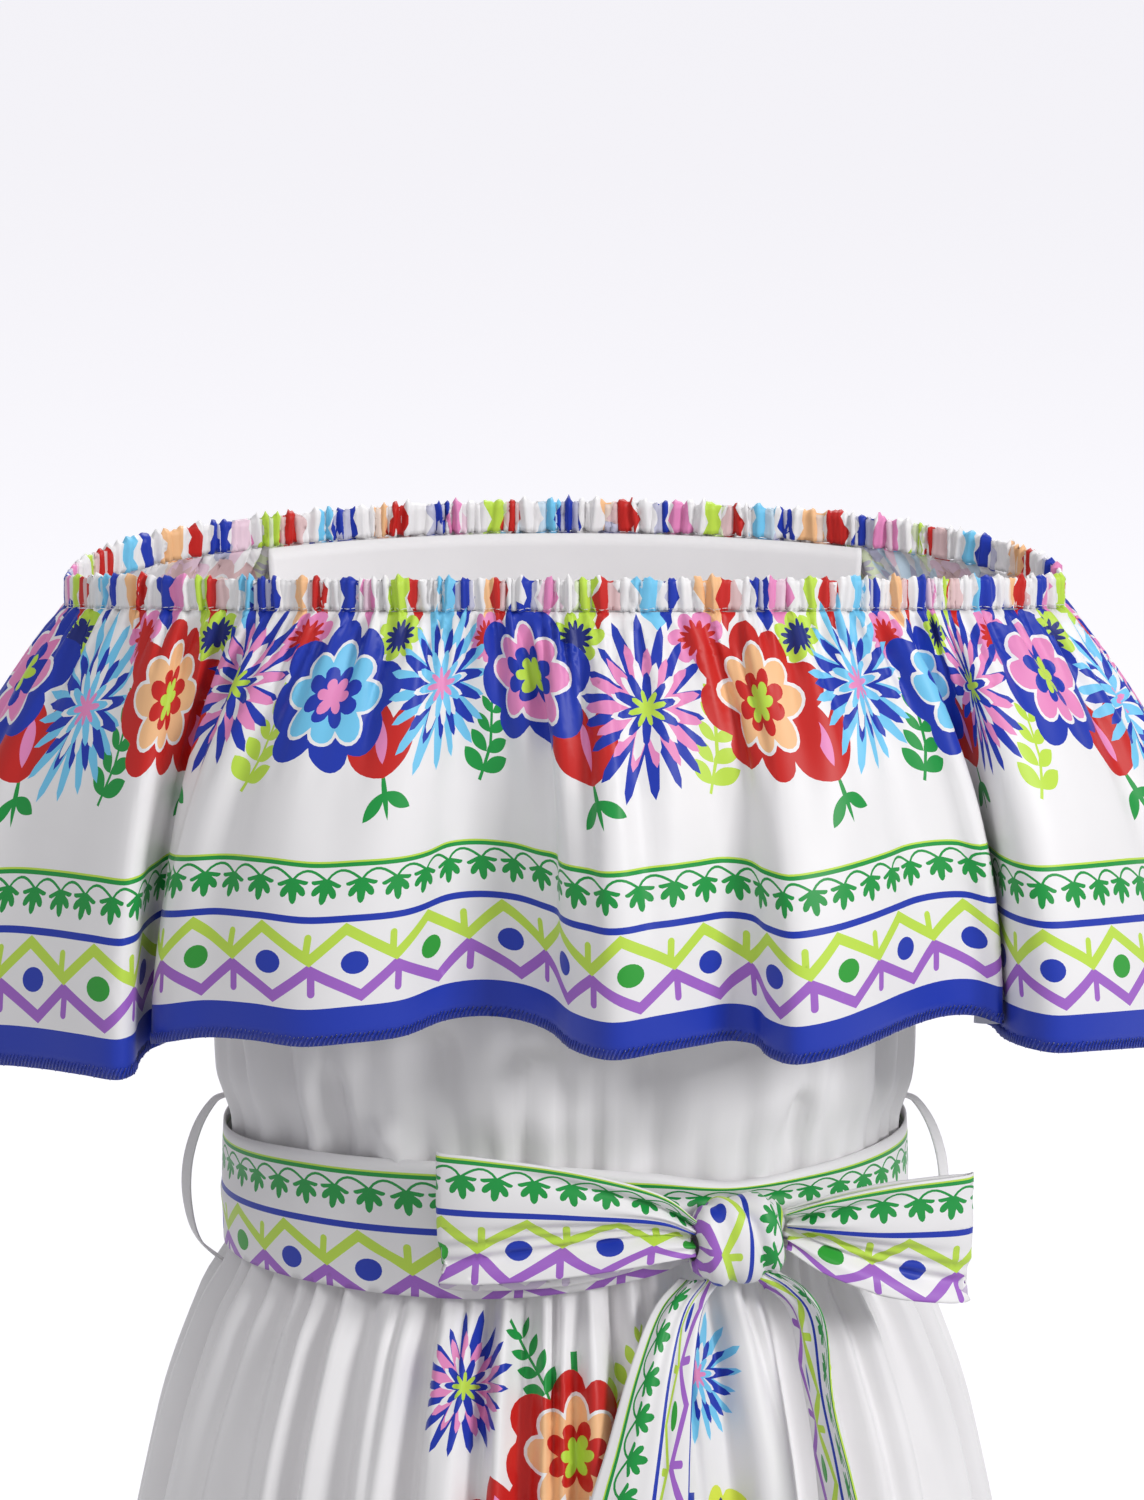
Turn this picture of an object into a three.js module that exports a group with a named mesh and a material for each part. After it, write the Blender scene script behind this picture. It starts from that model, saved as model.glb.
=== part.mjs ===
// An off-the-shoulder folk dress, worn but with no wearer in it: an elastic neckline, a deep printed
// flounce hanging from it, a plain bodice gathered into the waist, a gathered skirt and a sash tied in a bow.
// Millimetres, +Z up, the front faces -Y, +X is on the right of somebody who looks at the front.
// The origin is the middle of the neck opening, level with the top of the elastic over the upper arms.
import * as THREE from "three";

// Driving sizes.
const CLOTH = 1.4;
const SEAM_GAP = 0.4;
const CASING_HEIGHT = 15;
const CASING_WALL = 3.2;
const CASING_GATHERS = 44;
const FLOUNCE_GATHERS = 20;
const NECK = { halfWidth: 226, front: 108, back: 104 };
const NECK_RISE = { front: 29.5, back: 6 };
const WAIST_Z = -286;
const WAIST_RISE = { front: 11, back: 4 };
const SKIRT_HEM_Z = -1100;
const SKIRT_FOLDS = 16;
const BODICE_GATHERS = 10;
const BELT_OVAL = { halfWidth: 158, front: 108.5, back: 106 };
const CARRIER_WIDTH = 5.5;

// The finishes of the separate cuts.
const FINISH = {
  white: { color: 0xf2f1f0, roughness: 0.55, metalness: 0 },
  print: { color: 0xd9d6e6, roughness: 0.5, metalness: 0 },
  sash: { color: 0xcfd8d2, roughness: 0.5, metalness: 0 },
};

// The flounce's lower edge, walked from its left seam to its right one, as it hangs over the bust and the upper
// arms. top: the place on the casing that each of its points hangs from, from -1 at the left seam to 1.
const FRONT_HEM = [
  { x: -311, y: 0, z: -219, top: -1 },
  { x: -304, y: -26, z: -221, top: -0.943 },
  { x: -286, y: -50, z: -218, top: -0.881 },
  { x: -257, y: -70, z: -209, top: -0.8 },
  { x: -236, y: -86, z: -205, top: -0.752 },
  { x: -216, y: -103, z: -202, top: -0.706 },
  { x: -200, y: -113, z: -201, top: -0.672 },
  { x: -193, y: -106, z: -201, top: -0.65 },
  { x: -191, y: -88, z: -201, top: -0.618 },
  { x: -187, y: -72, z: -201, top: -0.588 },
  { x: -181.5, y: -70, z: -199, top: -0.573 },
  { x: -182.5, y: -80, z: -195, top: -0.55 },
  { x: -185, y: -95, z: -190, top: -0.515 },
  { x: -179, y: -111, z: -184, top: -0.47 },
  { x: -160, y: -124, z: -177, top: -0.417 },
  { x: -139, y: -139, z: -173, top: -0.363 },
  { x: -117, y: -151, z: -172, top: -0.311 },
  { x: -95, y: -152, z: -170, top: -0.267 },
  { x: -72, y: -143, z: -170, top: -0.22 },
  { x: -53, y: -124, z: -169, top: -0.163 },
  { x: -36, y: -115, z: -170, top: -0.134 },
  { x: -20, y: -115, z: -172, top: -0.111 },
  { x: -7, y: -127, z: -173, top: -0.085 },
  { x: 4, y: -153, z: -173, top: -0.02 },
  { x: 21, y: -169, z: -172, top: 0.035 },
  { x: 43, y: -161, z: -171, top: 0.103 },
  { x: 60, y: -149, z: -172, top: 0.161 },
  { x: 73, y: -140, z: -173, top: 0.2 },
  { x: 84, y: -142, z: -174, top: 0.232 },
  { x: 90, y: -156, z: -175, top: 0.265 },
  { x: 101, y: -169, z: -174, top: 0.306 },
  { x: 118, y: -163, z: -173, top: 0.343 },
  { x: 135, y: -147, z: -172, top: 0.394 },
  { x: 153, y: -124, z: -172, top: 0.455 },
  { x: 169, y: -107, z: -173, top: 0.502 },
  { x: 183, y: -100, z: -175, top: 0.53 },
  { x: 194, y: -102, z: -178, top: 0.548 },
  { x: 196, y: -96, z: -180, top: 0.557 },
  { x: 191, y: -85, z: -184, top: 0.572 },
  { x: 185, y: -72, z: -188, top: 0.588 },
  { x: 187, y: -65, z: -190, top: 0.598 },
  { x: 192, y: -68, z: -191, top: 0.607 },
  { x: 195.5, y: -84, z: -190, top: 0.624 },
  { x: 199, y: -101, z: -187, top: 0.642 },
  { x: 207, y: -116, z: -185, top: 0.662 },
  { x: 218, y: -122, z: -185, top: 0.684 },
  { x: 234, y: -114, z: -187, top: 0.716 },
  { x: 260, y: -86, z: -195, top: 0.79 },
  { x: 287, y: -50, z: -206, top: 0.88 },
  { x: 305, y: -24, z: -212, top: 0.948 },
  { x: 311, y: 0, z: -215, top: 1 },
];
const BACK_HEM = [
  { x: -311, y: 0, z: -219, top: -1 },
  { x: -303, y: 22, z: -218, top: -0.943 },
  { x: -287, y: 40, z: -216, top: -0.888 },
  { x: -276, y: 68, z: -213, top: -0.812 },
  { x: -256, y: 94, z: -211, top: -0.731 },
  { x: -229, y: 94, z: -209, top: -0.659 },
  { x: -201, y: 90, z: -208, top: -0.591 },
  { x: -170, y: 119, z: -206, top: -0.486 },
  { x: -136, y: 147, z: -205, top: -0.378 },
  { x: -110, y: 133, z: -204, top: -0.305 },
  { x: -85, y: 119, z: -204, top: -0.235 },
  { x: -50, y: 141, z: -203, top: -0.134 },
  { x: -13, y: 162, z: -203, top: -0.032 },
  { x: 21, y: 143, z: -203, top: 0.062 },
  { x: 53, y: 122, z: -203, top: 0.154 },
  { x: 79, y: 138, z: -204, top: 0.229 },
  { x: 106, y: 154, z: -204, top: 0.306 },
  { x: 142, y: 127, z: -205, top: 0.414 },
  { x: 175, y: 98, z: -206, top: 0.52 },
  { x: 206, y: 104, z: -207, top: 0.598 },
  { x: 239, y: 107, z: -209, top: 0.679 },
  { x: 264, y: 79, z: -211, top: 0.773 },
  { x: 282, y: 48, z: -213, top: 0.863 },
  { x: 302, y: 26, z: -215, top: 0.93 },
  { x: 311, y: 0, z: -215, top: 1 },
];

// The bodice from the neckline (down 0) to the waist seam (down 1). reach: the angle from the middle of the
// panel to its edge, which is the armhole above the underarm and the side seam below it.
const BODICE = [
  { down: 0.0, halfWidth: 222.4, front: 104.4, back: 100.4, reach: 0.66 },
  { down: 0.12, halfWidth: 195, front: 103.5, back: 100.5, reach: 0.77 },
  { down: 0.22, halfWidth: 172, front: 104.5, back: 101, reach: 0.97 },
  { down: 0.3, halfWidth: 156, front: 105.5, back: 102, reach: 1.24 },
  { down: 0.36, halfWidth: 151, front: 106, back: 102.5, reach: Math.PI / 2 },
  { down: 0.6, halfWidth: 158, front: 107, back: 104, reach: Math.PI / 2 },
  { down: 0.8, halfWidth: 159, front: 108, back: 104.5, reach: Math.PI / 2 },
  { down: 0.885, halfWidth: 152, front: 102.6, back: 100, reach: Math.PI / 2 },
  { down: 1.0, halfWidth: 151.6, front: 102, back: 99.5, reach: Math.PI / 2 },
];

// The skirt from the waist seam (down 0) to its hem (down 1). fold: how deep its folds are on each side.
const SKIRT = [
  { down: 0.0, halfWidth: 151.6, front: 102, back: 99.5, fold: 2.2 },
  { down: 0.04, halfWidth: 152, front: 102.8, back: 100.5, fold: 2.6 },
  { down: 0.075, halfWidth: 165, front: 117, back: 114, fold: 5 },
  { down: 0.15, halfWidth: 184, front: 137, back: 132, fold: 7 },
  { down: 0.35, halfWidth: 214, front: 168, back: 161, fold: 8.6 },
  { down: 0.65, halfWidth: 247, front: 204, back: 198, fold: 10.5 },
  { down: 1.0, halfWidth: 278, front: 238, back: 232, fold: 12 },
];

// The sash round the waist. turn: degrees round from the middle of the front, towards the right. It is drawn in
// where it runs into the knot.
const BELT = [
  { turn: -180, z: -283, tall: 62 },
  { turn: -90, z: -287, tall: 57 },
  { turn: -45, z: -280, tall: 63 },
  { turn: -10, z: -275.5, tall: 64 },
  { turn: 13, z: -273, tall: 50 },
  { turn: 28, z: -271, tall: 31 },
  { turn: 45, z: -276, tall: 41 },
  { turn: 65, z: -283, tall: 55 },
  { turn: 90, z: -287, tall: 60 },
  { turn: 180, z: -283, tall: 62 },
];

// The knot's middle along the belt, and its half sizes: across, towards the front, and up.
const KNOT = { x: 73, across: 21, deep: 13, tall: 20.5, z: -278 };

// The bow's loops as strips of the sash on edge, along a line in plan. tall: the strip's height at each place.
const LEFT_LOOP = [
  { x: 58.7, y: -120.5, z: -273, tall: 17 },
  { x: 42, y: -125, z: -267, tall: 33 },
  { x: 5, y: -128, z: -264, tall: 50 },
  { x: -36, y: -127.5, z: -263, tall: 60 },
  { x: -55, y: -122.5, z: -263.5, tall: 62 },
  { x: -57.5, y: -118.5, z: -264, tall: 62 },
  { x: -55, y: -114.5, z: -264.5, tall: 62 },
  { x: -36, y: -112.5, z: -265, tall: 60 },
  { x: 5, y: -113.5, z: -267, tall: 50 },
  { x: 38, y: -112, z: -270, tall: 33 },
  { x: 56.7, y: -114.6, z: -274, tall: 17 },
];
const RIGHT_LOOP = [
  { x: 99.8, y: -105.9, z: -275, tall: 17 },
  { x: 118, y: -112, z: -276, tall: 36 },
  { x: 146, y: -110, z: -279, tall: 53 },
  { x: 172, y: -101, z: -282, tall: 60 },
  { x: 182, y: -95, z: -283, tall: 61 },
  { x: 184, y: -91, z: -283, tall: 61 },
  { x: 180.5, y: -89, z: -283, tall: 61 },
  { x: 168, y: -90, z: -282, tall: 60 },
  { x: 142, y: -96, z: -280, tall: 53 },
  { x: 119, y: -99.5, z: -277, tall: 36 },
  { x: 97.9, y: -100.3, z: -276, tall: 17 },
];
// The ends hang over the skirt. wide: the strip's width, turn: how far its width is turned from facing front
// towards the side, in degrees, clear: how far its nearer edge is off the skirt's folds.
const LEFT_END = [
  { x: 61, z: -297.2, wide: 18, turn: 0, clear: 9 },
  { x: 51, z: -311, wide: 22, turn: 3, clear: 6 },
  { x: 43.5, z: -335, wide: 29, turn: 6, clear: 3 },
  { x: 37.5, z: -368, wide: 38, turn: 9, clear: 1 },
  { x: 31.5, z: -404, wide: 48, turn: 10, clear: 1 },
  { x: 22, z: -480, wide: 57, turn: 8, clear: 1 },
  { x: 11, z: -610, wide: 63, turn: 4, clear: 1 },
];
const RIGHT_END = [
  { x: 88, z: -296.7, wide: 15, turn: 0, clear: 9 },
  { x: 100, z: -306, wide: 22, turn: 25, clear: 6 },
  { x: 109.5, z: -320, wide: 26, turn: 50, clear: 3 },
  { x: 114, z: -350, wide: 30, turn: 64, clear: 1 },
  { x: 121.5, z: -385, wide: 38, turn: 64, clear: 1 },
  { x: 134, z: -460, wide: 52, turn: 54, clear: 1 },
  { x: 144, z: -590, wide: 63, turn: 46, clear: 1 },
];

// The thin carriers that the sash runs through, seen from the front. off: how far the strip stands off the
// line between its two ends, which are sewn on at the side seams above and below the sash.
const CARRIER = [
  { off: 0, z: -247 },
  { off: 6, z: -250.5 },
  { off: 13, z: -263 },
  { off: 17.5, z: -281 },
  { off: 17.5, z: -300 },
  { off: 12.5, z: -318 },
  { off: 0, z: -330 },
];

// The value of a column of a table at a place between its rows, along a smooth curve through the rows.
function smooth(rows, place, column, at) {
  const last = rows.length - 1;
  let i = 0;
  while (i < last - 1 && at > rows[i + 1][place]) i += 1;
  const slope = (k) => {
    const before = rows[Math.max(k - 1, 0)];
    const after = rows[Math.min(k + 1, last)];
    return (after[column] - before[column]) / (after[place] - before[place]);
  };
  const span = rows[i + 1][place] - rows[i][place];
  const t = THREE.MathUtils.clamp((at - rows[i][place]) / span, 0, 1);
  const t2 = t * t;
  const t3 = t2 * t;
  return (
    (2 * t3 - 3 * t2 + 1) * rows[i][column] +
    (t3 - 2 * t2 + t) * span * slope(i) +
    (3 * t2 - 2 * t3) * rows[i + 1][column] +
    (t3 - t2) * span * slope(i + 1)
  );
}

// Where a half oval is walked in equal lengths: the angle from its middle for each place from -1 to 1.
function evenWalk(halfWidth, depth) {
  const steps = 240;
  const lengths = [0];
  const angleOf = (i) => (-0.5 + i / steps) * Math.PI;
  for (let i = 1; i <= steps; i += 1) {
    const middle = (angleOf(i) + angleOf(i - 1)) / 2;
    lengths.push(
      lengths[i - 1] +
        Math.hypot(halfWidth * Math.cos(middle), depth * Math.sin(middle)),
    );
  }
  return (at) => {
    const wanted = ((at + 1) / 2) * lengths[steps];
    let i = 1;
    while (i < steps && lengths[i] < wanted) i += 1;
    const t = (wanted - lengths[i - 1]) / (lengths[i] - lengths[i - 1]);
    return angleOf(i - 1 + THREE.MathUtils.clamp(t, 0, 1));
  };
}

// The half of the dress that a panel covers: facing 1 is the front and -1 the back. A panel is always walked
// from the dress's left on the picture to its right.
const depthOf = (section, facing) =>
  facing > 0 ? section.front : section.back;
const neckTop = (angle, facing) =>
  1 + depthOf(NECK_RISE, facing) * Math.cos(angle);
const waistLine = (angle, facing) =>
  WAIST_Z + depthOf(WAIST_RISE, facing) * Math.cos(angle);

function onOval(section, angle, facing) {
  return new THREE.Vector2(
    section.halfWidth * Math.sin(angle),
    -facing * depthOf(section, facing) * Math.cos(angle),
  );
}

function outwardOf(section, angle, facing) {
  return new THREE.Vector2(
    depthOf(section, facing) * Math.sin(angle),
    -facing * section.halfWidth * Math.cos(angle),
  ).normalize();
}

// A closed wall on a grid of outer and inner points. A ring joins its last column to its first.
function wallFromGrids(outer, inner, ring) {
  const rows = outer.length;
  const columns = outer[0].length;
  const points = [...outer.flat(), ...inner.flat()];
  const insideFrom = rows * columns;
  const faces = [];
  const quad = (a, b, c, d) => faces.push([a, b, c], [a, c, d]);
  const id = (r, c) => r * columns + (c % columns);
  const spans = ring ? columns : columns - 1;
  for (let c = 0; c < spans; c += 1) {
    for (let r = 0; r < rows - 1; r += 1) {
      const [a, b] = [id(r, c), id(r, c + 1)];
      const [d, e] = [id(r + 1, c), id(r + 1, c + 1)];
      quad(a, d, e, b);
      quad(insideFrom + a, insideFrom + b, insideFrom + e, insideFrom + d);
    }
    for (const r of [0, rows - 1]) {
      const [a, b] = r ? [id(r, c), id(r, c + 1)] : [id(r, c + 1), id(r, c)];
      quad(a, insideFrom + a, insideFrom + b, b);
    }
  }
  for (const c of ring ? [] : [0, columns - 1]) {
    for (let r = 0; r < rows - 1; r += 1) {
      const [a, b] = c ? [id(r + 1, c), id(r, c)] : [id(r, c), id(r + 1, c)];
      quad(a, insideFrom + a, insideFrom + b, b);
    }
  }
  return meshOf(points, faces);
}

// Turns the faces outwards, whichever way round the grid was walked.
function meshOf(points, faces) {
  const volume = faces.reduce(
    (sum, [a, b, c]) =>
      sum + points[a].dot(new THREE.Vector3().crossVectors(points[b], points[c])),
    0,
  );
  const facingOut = volume > 0 ? faces : faces.map(([a, b, c]) => [a, c, b]);
  const geometry = new THREE.BufferGeometry().setFromPoints(points);
  geometry.setIndex(facingOut.flat());
  geometry.computeVertexNormals();
  return geometry;
}

// A wall of cloth whose outer side is surface(at, down) and whose thickness runs inwards, along the normal.
// side is 1 for the front, where the surface's own normal (along at, then down) points into the dress.
function clothWall(surface, places, levels, thick, side) {
  const step = 1e-3;
  const outer = [];
  const inner = [];
  for (const down of levels) {
    outer.push(places.map((at) => surface(at, down)));
    inner.push(
      places.map((at) => {
        const across = surface(at + step, down).sub(surface(at - step, down));
        const along = surface(at, down + step).sub(surface(at, down - step));
        const inwards = across.cross(along).normalize().multiplyScalar(side);
        return surface(at, down).addScaledVector(inwards, thick);
      }),
    );
  }
  const kept = (grid) => grid.map((row) => row.map((p) => keepTo(side, p)));
  return wallFromGrids(kept(outer), kept(inner), false);
}

const evenly = (count, from, to) =>
  Array.from({ length: count + 1 }, (_, i) => from + ((to - from) * i) / count);

// Two panels stop short of the side seam that they share.
const panelPlaces = (columns, halfLength) =>
  evenly(
    columns,
    -1 + SEAM_GAP / 2 / halfLength,
    1 - SEAM_GAP / 2 / halfLength,
  );

const neckWalk = {
  1: evenWalk(NECK.halfWidth, NECK.front),
  "-1": evenWalk(NECK.halfWidth, NECK.back),
};
const skirtWalk = evenWalk(SKIRT[4].halfWidth, SKIRT[4].front);

// Gathers that aren't quite even: a cosine whose steps drift a little.
const gathers = (count, at, drift) =>
  Math.cos(
    Math.PI *
      (count * at + drift * (Math.sin(5.3 * at + 0.7) + 0.5 * Math.sin(13 * at))),
  );
// Folds with broad rounded crests and narrow valleys between them.
const folds = (count, at, drift) =>
  1 - 2 * Math.pow((1 - gathers(count, at, drift)) / 2, 2);

// Cloth on one side of the side seams keeps to that side.
function keepTo(facing, point) {
  const y = Math.max(-facing * point.y, SEAM_GAP / 2);
  return point.setY(-facing * y);
}

// The elastic casing: puckered outside over a plain inside.
function casing(facing) {
  const places = panelPlaces(CASING_GATHERS * 3, 278);
  const pucker = 1.3;
  const at = (place, z, inset) => {
    const angle = neckWalk[facing](place);
    const out = outwardOf(NECK, angle, facing).multiplyScalar(inset);
    const plan = onOval(NECK, angle, facing).add(out);
    return new THREE.Vector3(plan.x, plan.y, neckTop(angle, facing) + z);
  };
  const outer = [0, -CASING_HEIGHT].map((z) =>
    places.map((p) => at(p, z, pucker * gathers(CASING_GATHERS, p, 0.6))),
  );
  const inner = [0, -CASING_HEIGHT].map((z) =>
    places.map((p) => at(p, z, -CASING_WALL)),
  );
  return wallFromGrids(outer, inner, false);
}

// The rows of a hem with their place along it, from -1 to 1 by the length of its cloth.
function hemLine(rows) {
  const lengths = [0];
  for (let i = 1; i < rows.length; i += 1) {
    const [a, b] = [rows[i - 1], rows[i]];
    lengths.push(lengths[i - 1] + Math.hypot(b.x - a.x, b.y - a.y, b.z - a.z));
  }
  const whole = lengths[rows.length - 1];
  return rows.map((row, i) => ({ ...row, at: (2 * lengths[i]) / whole - 1 }));
}

// The flounce leaves the casing at a slant and turns down towards its hem: a quarter of a sine outwards, and
// close to an even drop. The hem's waves grow from nothing, and the casing's small gathers die out.
function flounceSurface(facing, rows) {
  const hem = hemLine(rows);
  return (place, down) => {
    const row = (column) => smooth(hem, "at", column, place);
    const angle = neckWalk[facing](row("top"));
    const fade = Math.max(0, 1 - down / 0.6);
    const small = (1.2 + 9 * down) * fade * fade;
    const top = onOval(NECK, angle, facing).addScaledVector(
      outwardOf(NECK, angle, facing),
      small * gathers(FLOUNCE_GATHERS, place, 0.5) - 0.6 * (1 - down),
    );
    const start = neckTop(angle, facing) - CASING_HEIGHT - SEAM_GAP;
    const spread = Math.sin((Math.PI / 2) * down);
    const fall = down - (0.1 * Math.sin(Math.PI * down)) / Math.PI;
    return new THREE.Vector3(
      top.x + (row("x") - top.x) * spread,
      top.y + (row("y") - top.y) * spread,
      start + (row("z") - start) * fall,
    );
  };
}

function flounce(facing, rows, steps) {
  const hem = hemLine(rows);
  const places = hem
    .slice(1)
    .flatMap((row, i) => evenly(steps, hem[i].at, row.at).slice(1));
  const levels = [0, 0.14, 0.32, 0.54, 0.78, 1];
  const surface = flounceSurface(facing, rows);
  return clothWall(surface, [-1, ...places], levels, CLOTH, facing);
}

// The bodice hangs from the inside of the casing, is cut away for the arms and is gathered into the waist.
function bodiceSurface(facing) {
  return (place, down) => {
    const row = (column) => smooth(BODICE, "down", column, down);
    const section = {
      halfWidth: row("halfWidth"),
      front: row("front"),
      back: row("back"),
    };
    const angle = place * Math.min(row("reach"), Math.PI / 2);
    const into = Math.max(0, (down - 0.55) / 0.45);
    const pucker = 2.4 * into * into * gathers(BODICE_GATHERS, place, 0.7);
    const plan = onOval(section, angle, facing).addScaledVector(
      outwardOf(section, angle, facing),
      pucker,
    );
    const top = neckTop(angle, facing) - CASING_HEIGHT - SEAM_GAP;
    const bottom = waistLine(angle, facing) + SEAM_GAP / 2;
    return new THREE.Vector3(plan.x, plan.y, top + (bottom - top) * down);
  };
}

const BODICE_LEVELS = [0, 0.12, 0.22, 0.3, 0.36, 0.6, 0.8, 0.885, 1];

function bodice(facing) {
  const places = panelPlaces(40, 200);
  return clothWall(bodiceSurface(facing), places, BODICE_LEVELS, CLOTH, facing);
}

// The skirt falls in folds that open out from the waist to the hem.
function skirtSurface(facing) {
  return (place, down) => {
    const row = (column) => smooth(SKIRT, "down", column, down);
    const section = {
      halfWidth: row("halfWidth"),
      front: row("front"),
      back: row("back"),
    };
    const angle = skirtWalk(place);
    const plan = onOval(section, angle, facing).addScaledVector(
      outwardOf(section, angle, facing),
      row("fold") * folds(SKIRT_FOLDS, place, 0.8),
    );
    const top = waistLine(angle, facing) - SEAM_GAP / 2;
    return new THREE.Vector3(
      plan.x,
      plan.y,
      top + (SKIRT_HEM_Z - top) * down,
    );
  };
}

const SKIRT_LEVELS = [0, 0.04, 0.075, 0.15, 0.35, 1];

function skirt(facing) {
  const places = panelPlaces(SKIRT_FOLDS * 5, 400);
  return clothWall(skirtSurface(facing), places, SKIRT_LEVELS, CLOTH, facing);
}

// The sash round the waist: one closed band, a little crowned between its edges.
function belt() {
  const columns = 60;
  const crowned = [
    { up: 0.5, out: -1 },
    { up: 0, out: 0 },
    { up: -0.5, out: -0.4 },
  ];
  const grid = (inset) =>
    crowned.map(({ up, out }) =>
      Array.from({ length: columns }, (_, i) => {
        const degrees = (360 * i) / columns - 180;
        const turn = THREE.MathUtils.degToRad(degrees);
        const facing = Math.cos(turn) >= 0 ? 1 : -1;
        const angle = Math.asin(Math.sin(turn));
        const plan = onOval(BELT_OVAL, angle, facing).addScaledVector(
          outwardOf(BELT_OVAL, angle, facing),
          out - inset,
        );
        const z = smooth(BELT, "turn", "z", degrees);
        const tall = smooth(BELT, "turn", "tall", degrees);
        return new THREE.Vector3(plan.x, plan.y, z + up * tall);
      }),
    );
  return wallFromGrids(grid(0), grid(CLOTH), true);
}

// The knot: the sash wrapped round itself, waisted where it grips the loops, with its grain across it.
function knot() {
  const around = 14;
  const across = [
    { at: -1, full: 0.62 },
    { at: -0.72, full: 0.9 },
    { at: 0, full: 1 },
    { at: 0.72, full: 0.9 },
    { at: 1, full: 0.62 },
  ];
  const angle = Math.asin(KNOT.x / BELT_OVAL.halfWidth);
  const foot = onOval(BELT_OVAL, angle, 1);
  const out = outwardOf(BELT_OVAL, angle, 1);
  const centre = foot.clone().addScaledVector(out, KNOT.deep + SEAM_GAP);
  const along = new THREE.Vector2(-out.y, out.x);
  const points = [];
  for (const { at, full } of across)
    for (let i = 0; i < around; i += 1) {
      const turn = (2 * Math.PI * i) / around;
      const plan = centre
        .clone()
        .addScaledVector(along, at * KNOT.across)
        .addScaledVector(out, full * KNOT.deep * Math.cos(turn));
      const up = full * KNOT.tall * Math.sin(turn);
      points.push(new THREE.Vector3(plan.x, plan.y, KNOT.z + up));
    }
  const faces = [];
  for (let r = 0; r < across.length - 1; r += 1)
    for (let i = 0; i < around; i += 1) {
      const [a, b] = [r * around + i, r * around + ((i + 1) % around)];
      faces.push([a, b, b + around], [a, b + around, a + around]);
    }
  const lastRing = (across.length - 1) * around;
  for (let i = 1; i < around - 1; i += 1) {
    faces.push([0, i + 1, i]);
    faces.push([lastRing, lastRing + i, lastRing + i + 1]);
  }
  return meshOf(points, faces);
}

// A strip of sash set on edge, along a line in plan. Each place on it is worked out from the table's rows.
function uprightStrip(rows, steps, thick) {
  const numbered = rows.map((row, i) => ({ ...row, at: i / (rows.length - 1) }));
  const along = (t) =>
    new THREE.Vector2(
      smooth(numbered, "at", "x", t),
      smooth(numbered, "at", "y", t),
    );
  const grid = (offset) =>
    [0.5, 0, -0.5].map((up) =>
      evenly(steps, 0, 1).map((t) => {
        const before = along(Math.max(t - 0.01, 0));
        const ahead = along(Math.min(t + 0.01, 1)).sub(before).normalize();
        const plan = along(t).add(
          new THREE.Vector2(-ahead.y, ahead.x).multiplyScalar(offset),
        );
        const z =
          smooth(numbered, "at", "z", t) + up * smooth(numbered, "at", "tall", t);
        return new THREE.Vector3(plan.x, plan.y, z);
      }),
    );
  return wallFromGrids(grid(thick / 2), grid(-thick / 2), false);
}

// How far in front of the waist's middle the crests of the skirt's folds reach, at a place on its front.
function skirtFront(x, z) {
  const across = (column, down) => smooth(SKIRT, "down", column, down);
  const share = Math.min(Math.abs(x) / 165, 1);
  const top = waistLine(Math.asin(share), 1);
  const down = (top - z) / (top - SKIRT_HEM_Z);
  const width = across("halfWidth", down);
  const bend = Math.sqrt(1 - Math.min((x * x) / (width * width), 1));
  return across("front", down) * bend + across("fold", down) + 1;
}

// A hanging end of the sash: it lies over the skirt's folds, a little bowed across its width.
function hangingEnd(rows, steps, thick) {
  const numbered = rows.map((row, i) => ({ ...row, at: i / (rows.length - 1) }));
  const place = (t, across, offset) => {
    const row = (column) => smooth(numbered, "at", column, t);
    const turn = THREE.MathUtils.degToRad(row("turn"));
    const width = row("wide");
    const x = row("x") + across * width * Math.cos(turn);
    const lift = (across + 0.5) * width * Math.sin(turn);
    const bowed = 2.5 * (1 - 4 * across * across) * Math.cos(turn);
    const nearest = Math.max(
      skirtFront(row("x") - (width / 2) * Math.cos(turn), row("z")),
      skirtFront(x, row("z")),
    );
    return new THREE.Vector3(
      x - offset * Math.sin(turn),
      -(nearest + row("clear") + lift + bowed + offset * Math.cos(turn)),
      row("z"),
    );
  };
  const grid = (offset) =>
    [-0.5, -0.17, 0.17, 0.5].map((across) =>
      evenly(steps, 0, 1).map((t) => place(t, across, offset)),
    );
  return wallFromGrids(grid(thick), grid(0), false);
}

// How far out a wall's side seam lies at a height, between the two levels of the wall that hold it.
function seamAt(surface, levels, side, z) {
  const points = levels.map((down) => surface(side, down));
  const below = points.findIndex((point) => point.z < z);
  const [a, b] = [points[below - 1], points[below]];
  return Math.abs(THREE.MathUtils.lerp(a.x, b.x, (a.z - z) / (a.z - b.z)));
}

// A carrier: a narrow strip that stands off the side seam so that the sash can pass inside it.
function carrier(side) {
  const last = CARRIER.length - 1;
  const numbered = CARRIER.map((row, i) => ({ ...row, at: i / last }));
  const seat = SEAM_GAP + CLOTH / 2;
  const above = seamAt(bodiceSurface(1), BODICE_LEVELS, side, CARRIER[0].z);
  const below = seamAt(skirtSurface(1), SKIRT_LEVELS, side, CARRIER[last].z);
  const half = CARRIER_WIDTH / 2;
  const grid = (offset) =>
    [-half, half].map((across) =>
      evenly(20, 0, 1).map((t) => {
        const turn = 0.9 * Math.sin(Math.PI * t);
        const line = THREE.MathUtils.lerp(above, below, t) + seat;
        const out = line + smooth(numbered, "at", "off", t) + offset;
        const x = out + across * Math.sin(turn) * 0.55;
        const z = smooth(numbered, "at", "z", t);
        return new THREE.Vector3(side * x, across * Math.cos(turn), z);
      }),
    );
  return wallFromGrids(grid(CLOTH / 2), grid(-CLOTH / 2), false);
}

const dress = new THREE.Group();

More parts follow.
